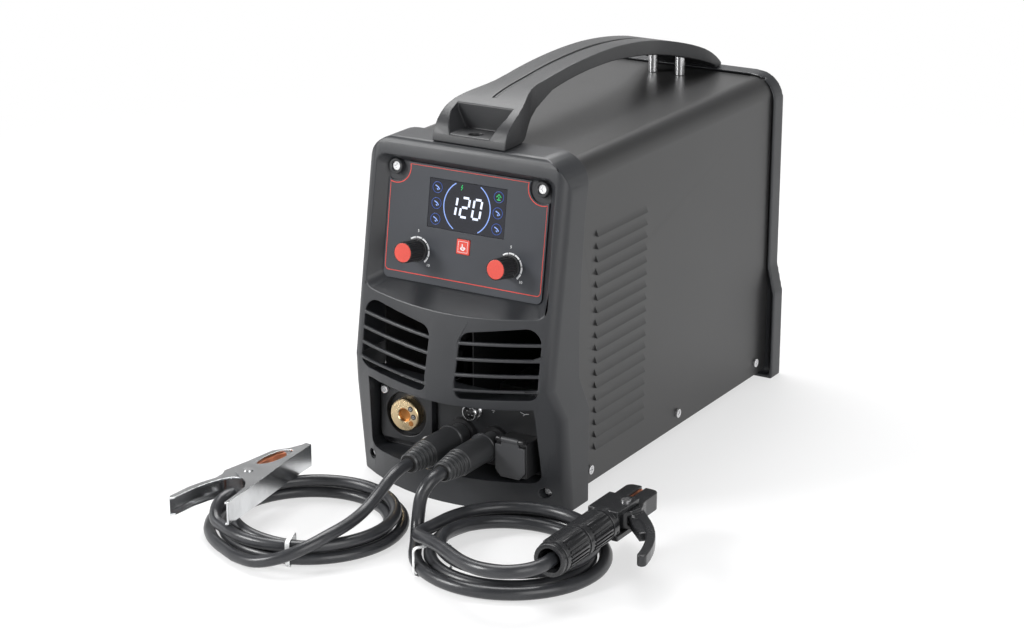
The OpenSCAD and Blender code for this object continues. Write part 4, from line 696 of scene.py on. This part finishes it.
def gripRibs():
    bm = bmesh.new()
    for x0, x1 in grip["groups"]:
        for t in grip["ribs"]:
            # t is the height angle on the side that the lever is on
            turn = Matrix.Rotation(math.radians(90 - t), 4, "X")
            reach = Matrix.Translation(((x0 + x1) / 2, 0, grip["r"] + grip["ribHigh"] / 2 - 0.4))
            size = Matrix.Diagonal((x1 - x0 - 4, grip["ribWide"], grip["ribHigh"] + 0.8, 1))
            bmesh.ops.create_cube(bm, size=1, matrix=turn @ reach @ size)
    bmesh.ops.bevel(bm, geom=bm.edges[:], offset=0.35, offset_type="OFFSET", affect="EDGES", segments=2,
                    profile=0.5, material=-1, clamp_overlap=True)
    bmesh.ops.transform(bm, matrix=holderPlace @ Matrix.Diagonal((mm, mm, mm, 1)), verts=bm.verts)
    return finish("gripRibs", bm, holderPlastic, "holder_handle", replaced=False)


gripRibs()
along = Matrix.Rotation(math.pi / 2, 4, "Y")
for i, x in enumerate((7, 42, 77)):
    w, r, h = grip["band"], grip["r"], grip["bandHigh"]
    turned("gripBand%d" % (i + 1), [(r - 1, -w), (r + h - 0.3, -w), (r + h, -w + 0.3), (r + h, w - 0.3),
                                   (r + h - 0.3, w), (r - 1, w)],
           holderPlace @ Matrix.Translation((x * mm, 0, 0)) @ along, holderPlastic, "holder_handle", steps=64)
print("grip ribbed")


# ---------------------------------------------------------------- studio
# heights of the view with the strengths there, and the floor's share of white between two distances in metres
room = {"low": 0.12, "high": 0.5, "pale": 0.85, "dim": 0.12, "near": 0.5, "far": 1.3, "shade": 0.62}


def dressStudio():
    floorLook = bpy.data.materials.new("paleFloor")
    floorLook.use_nodes = True
    tree = floorLook.node_tree
    tree.nodes.clear()
    surface = tree.nodes.new("ShaderNodeBsdfDiffuse")
    surface.inputs["Color"].default_value = (0.86, 0.86, 0.865, 1)
    glow = tree.nodes.new("ShaderNodeEmission")
    glow.inputs["Color"].default_value = (1, 1, 1, 1)
    path = tree.nodes.new("ShaderNodeLightPath")
    seen = tree.nodes.new("ShaderNodeMath")
    seen.operation = "MAXIMUM"
    share = tree.nodes.new("ShaderNodeMath")
    share.operation = "MULTIPLY"
    # the floor takes shadow near the machine and fades to plain white further out
    spot = tree.nodes.new("ShaderNodeTexCoord")
    away = tree.nodes.new("ShaderNodeVectorMath")
    away.operation = "LENGTH"
    fade = tree.nodes.new("ShaderNodeMapRange")
    fade.interpolation_type = "SMOOTHSTEP"
    for socket, value in zip(fade.inputs[1:5], (room["near"], room["far"], room["shade"], 1.0)):
        socket.default_value = value
    tree.links.new(spot.outputs["Object"], away.inputs[0])
    tree.links.new(away.outputs["Value"], fade.inputs[0])
    tree.links.new(fade.outputs[0], share.inputs[1])
    mixed = tree.nodes.new("ShaderNodeMixShader")
    result = tree.nodes.new("ShaderNodeOutputMaterial")
    tree.links.new(path.outputs["Is Camera Ray"], seen.inputs[0])
    tree.links.new(path.outputs["Is Glossy Ray"], seen.inputs[1])
    tree.links.new(seen.outputs[0], share.inputs[0])
    tree.links.new(share.outputs[0], mixed.inputs[0])
    tree.links.new(surface.outputs[0], mixed.inputs[1])
    tree.links.new(glow.outputs[0], mixed.inputs[2])
    tree.links.new(mixed.outputs[0], result.inputs["Surface"])
    bm = bmesh.new()
    bmesh.ops.create_grid(bm, x_segments=1, y_segments=1, size=8)
    data = bpy.data.meshes.new("studioFloor")
    bm.to_mesh(data)
    bm.free()
    data.materials.append(floorLook)
    floor = link("studioFloor", data)

    world = bpy.data.worlds.new("studioWorld")
    world.use_nodes = True
    scene.world = world
    tree = world.node_tree
    tree.nodes.clear()
    soft = tree.nodes.new("ShaderNodeBackground")
    soft.inputs["Color"].default_value = (1, 1, 1, 1)
    # the room is pale near the horizon and dim overhead
    way = tree.nodes.new("ShaderNodeTexCoord")
    parts = tree.nodes.new("ShaderNodeSeparateXYZ")
    fall = tree.nodes.new("ShaderNodeMapRange")
    fall.interpolation_type = "SMOOTHSTEP"
    for socket, value in zip(fall.inputs[1:5], (room["low"], room["high"], room["pale"], room["dim"])):
        socket.default_value = value
    tree.links.new(way.outputs["Generated"], parts.inputs[0])
    tree.links.new(parts.outputs["Z"], fall.inputs[0])
    tree.links.new(fall.outputs[0], soft.inputs["Strength"])
    white = tree.nodes.new("ShaderNodeBackground")
    white.inputs["Color"].default_value = (1, 1, 1, 1)
    white.inputs["Strength"].default_value = 1.0
    path = tree.nodes.new("ShaderNodeLightPath")
    mixed = tree.nodes.new("ShaderNodeMixShader")
    result = tree.nodes.new("ShaderNodeOutputWorld")
    tree.links.new(path.outputs["Is Camera Ray"], mixed.inputs[0])
    tree.links.new(soft.outputs[0], mixed.inputs[1])
    tree.links.new(white.outputs[0], mixed.inputs[2])
    tree.links.new(mixed.outputs[0], result.inputs["Surface"])


lamps = {  # place in mm, size in m, watts
    "keyLeft": ((-1500, -1500, 1300), 0.7, 50),
    "fillRight": ((1700, -900, 900), 1.4, 22),
    "topBack": ((-500, 700, 1700), 1.4, 44),
}


def hangLamps():
    for name, (place, size, watts) in lamps.items():
        lamp = bpy.data.lights.new(name, "AREA")
        lamp.shape = "SQUARE"
        lamp.size = size
        lamp.energy = watts
        piece = link(name, lamp)
        piece.location = at(*place)
        aim = at(0, 180, 130) - piece.location
        piece.rotation_euler = aim.to_track_quat("-Z", "Y").to_euler()


dressStudio()
hangLamps()
print("studio lit")
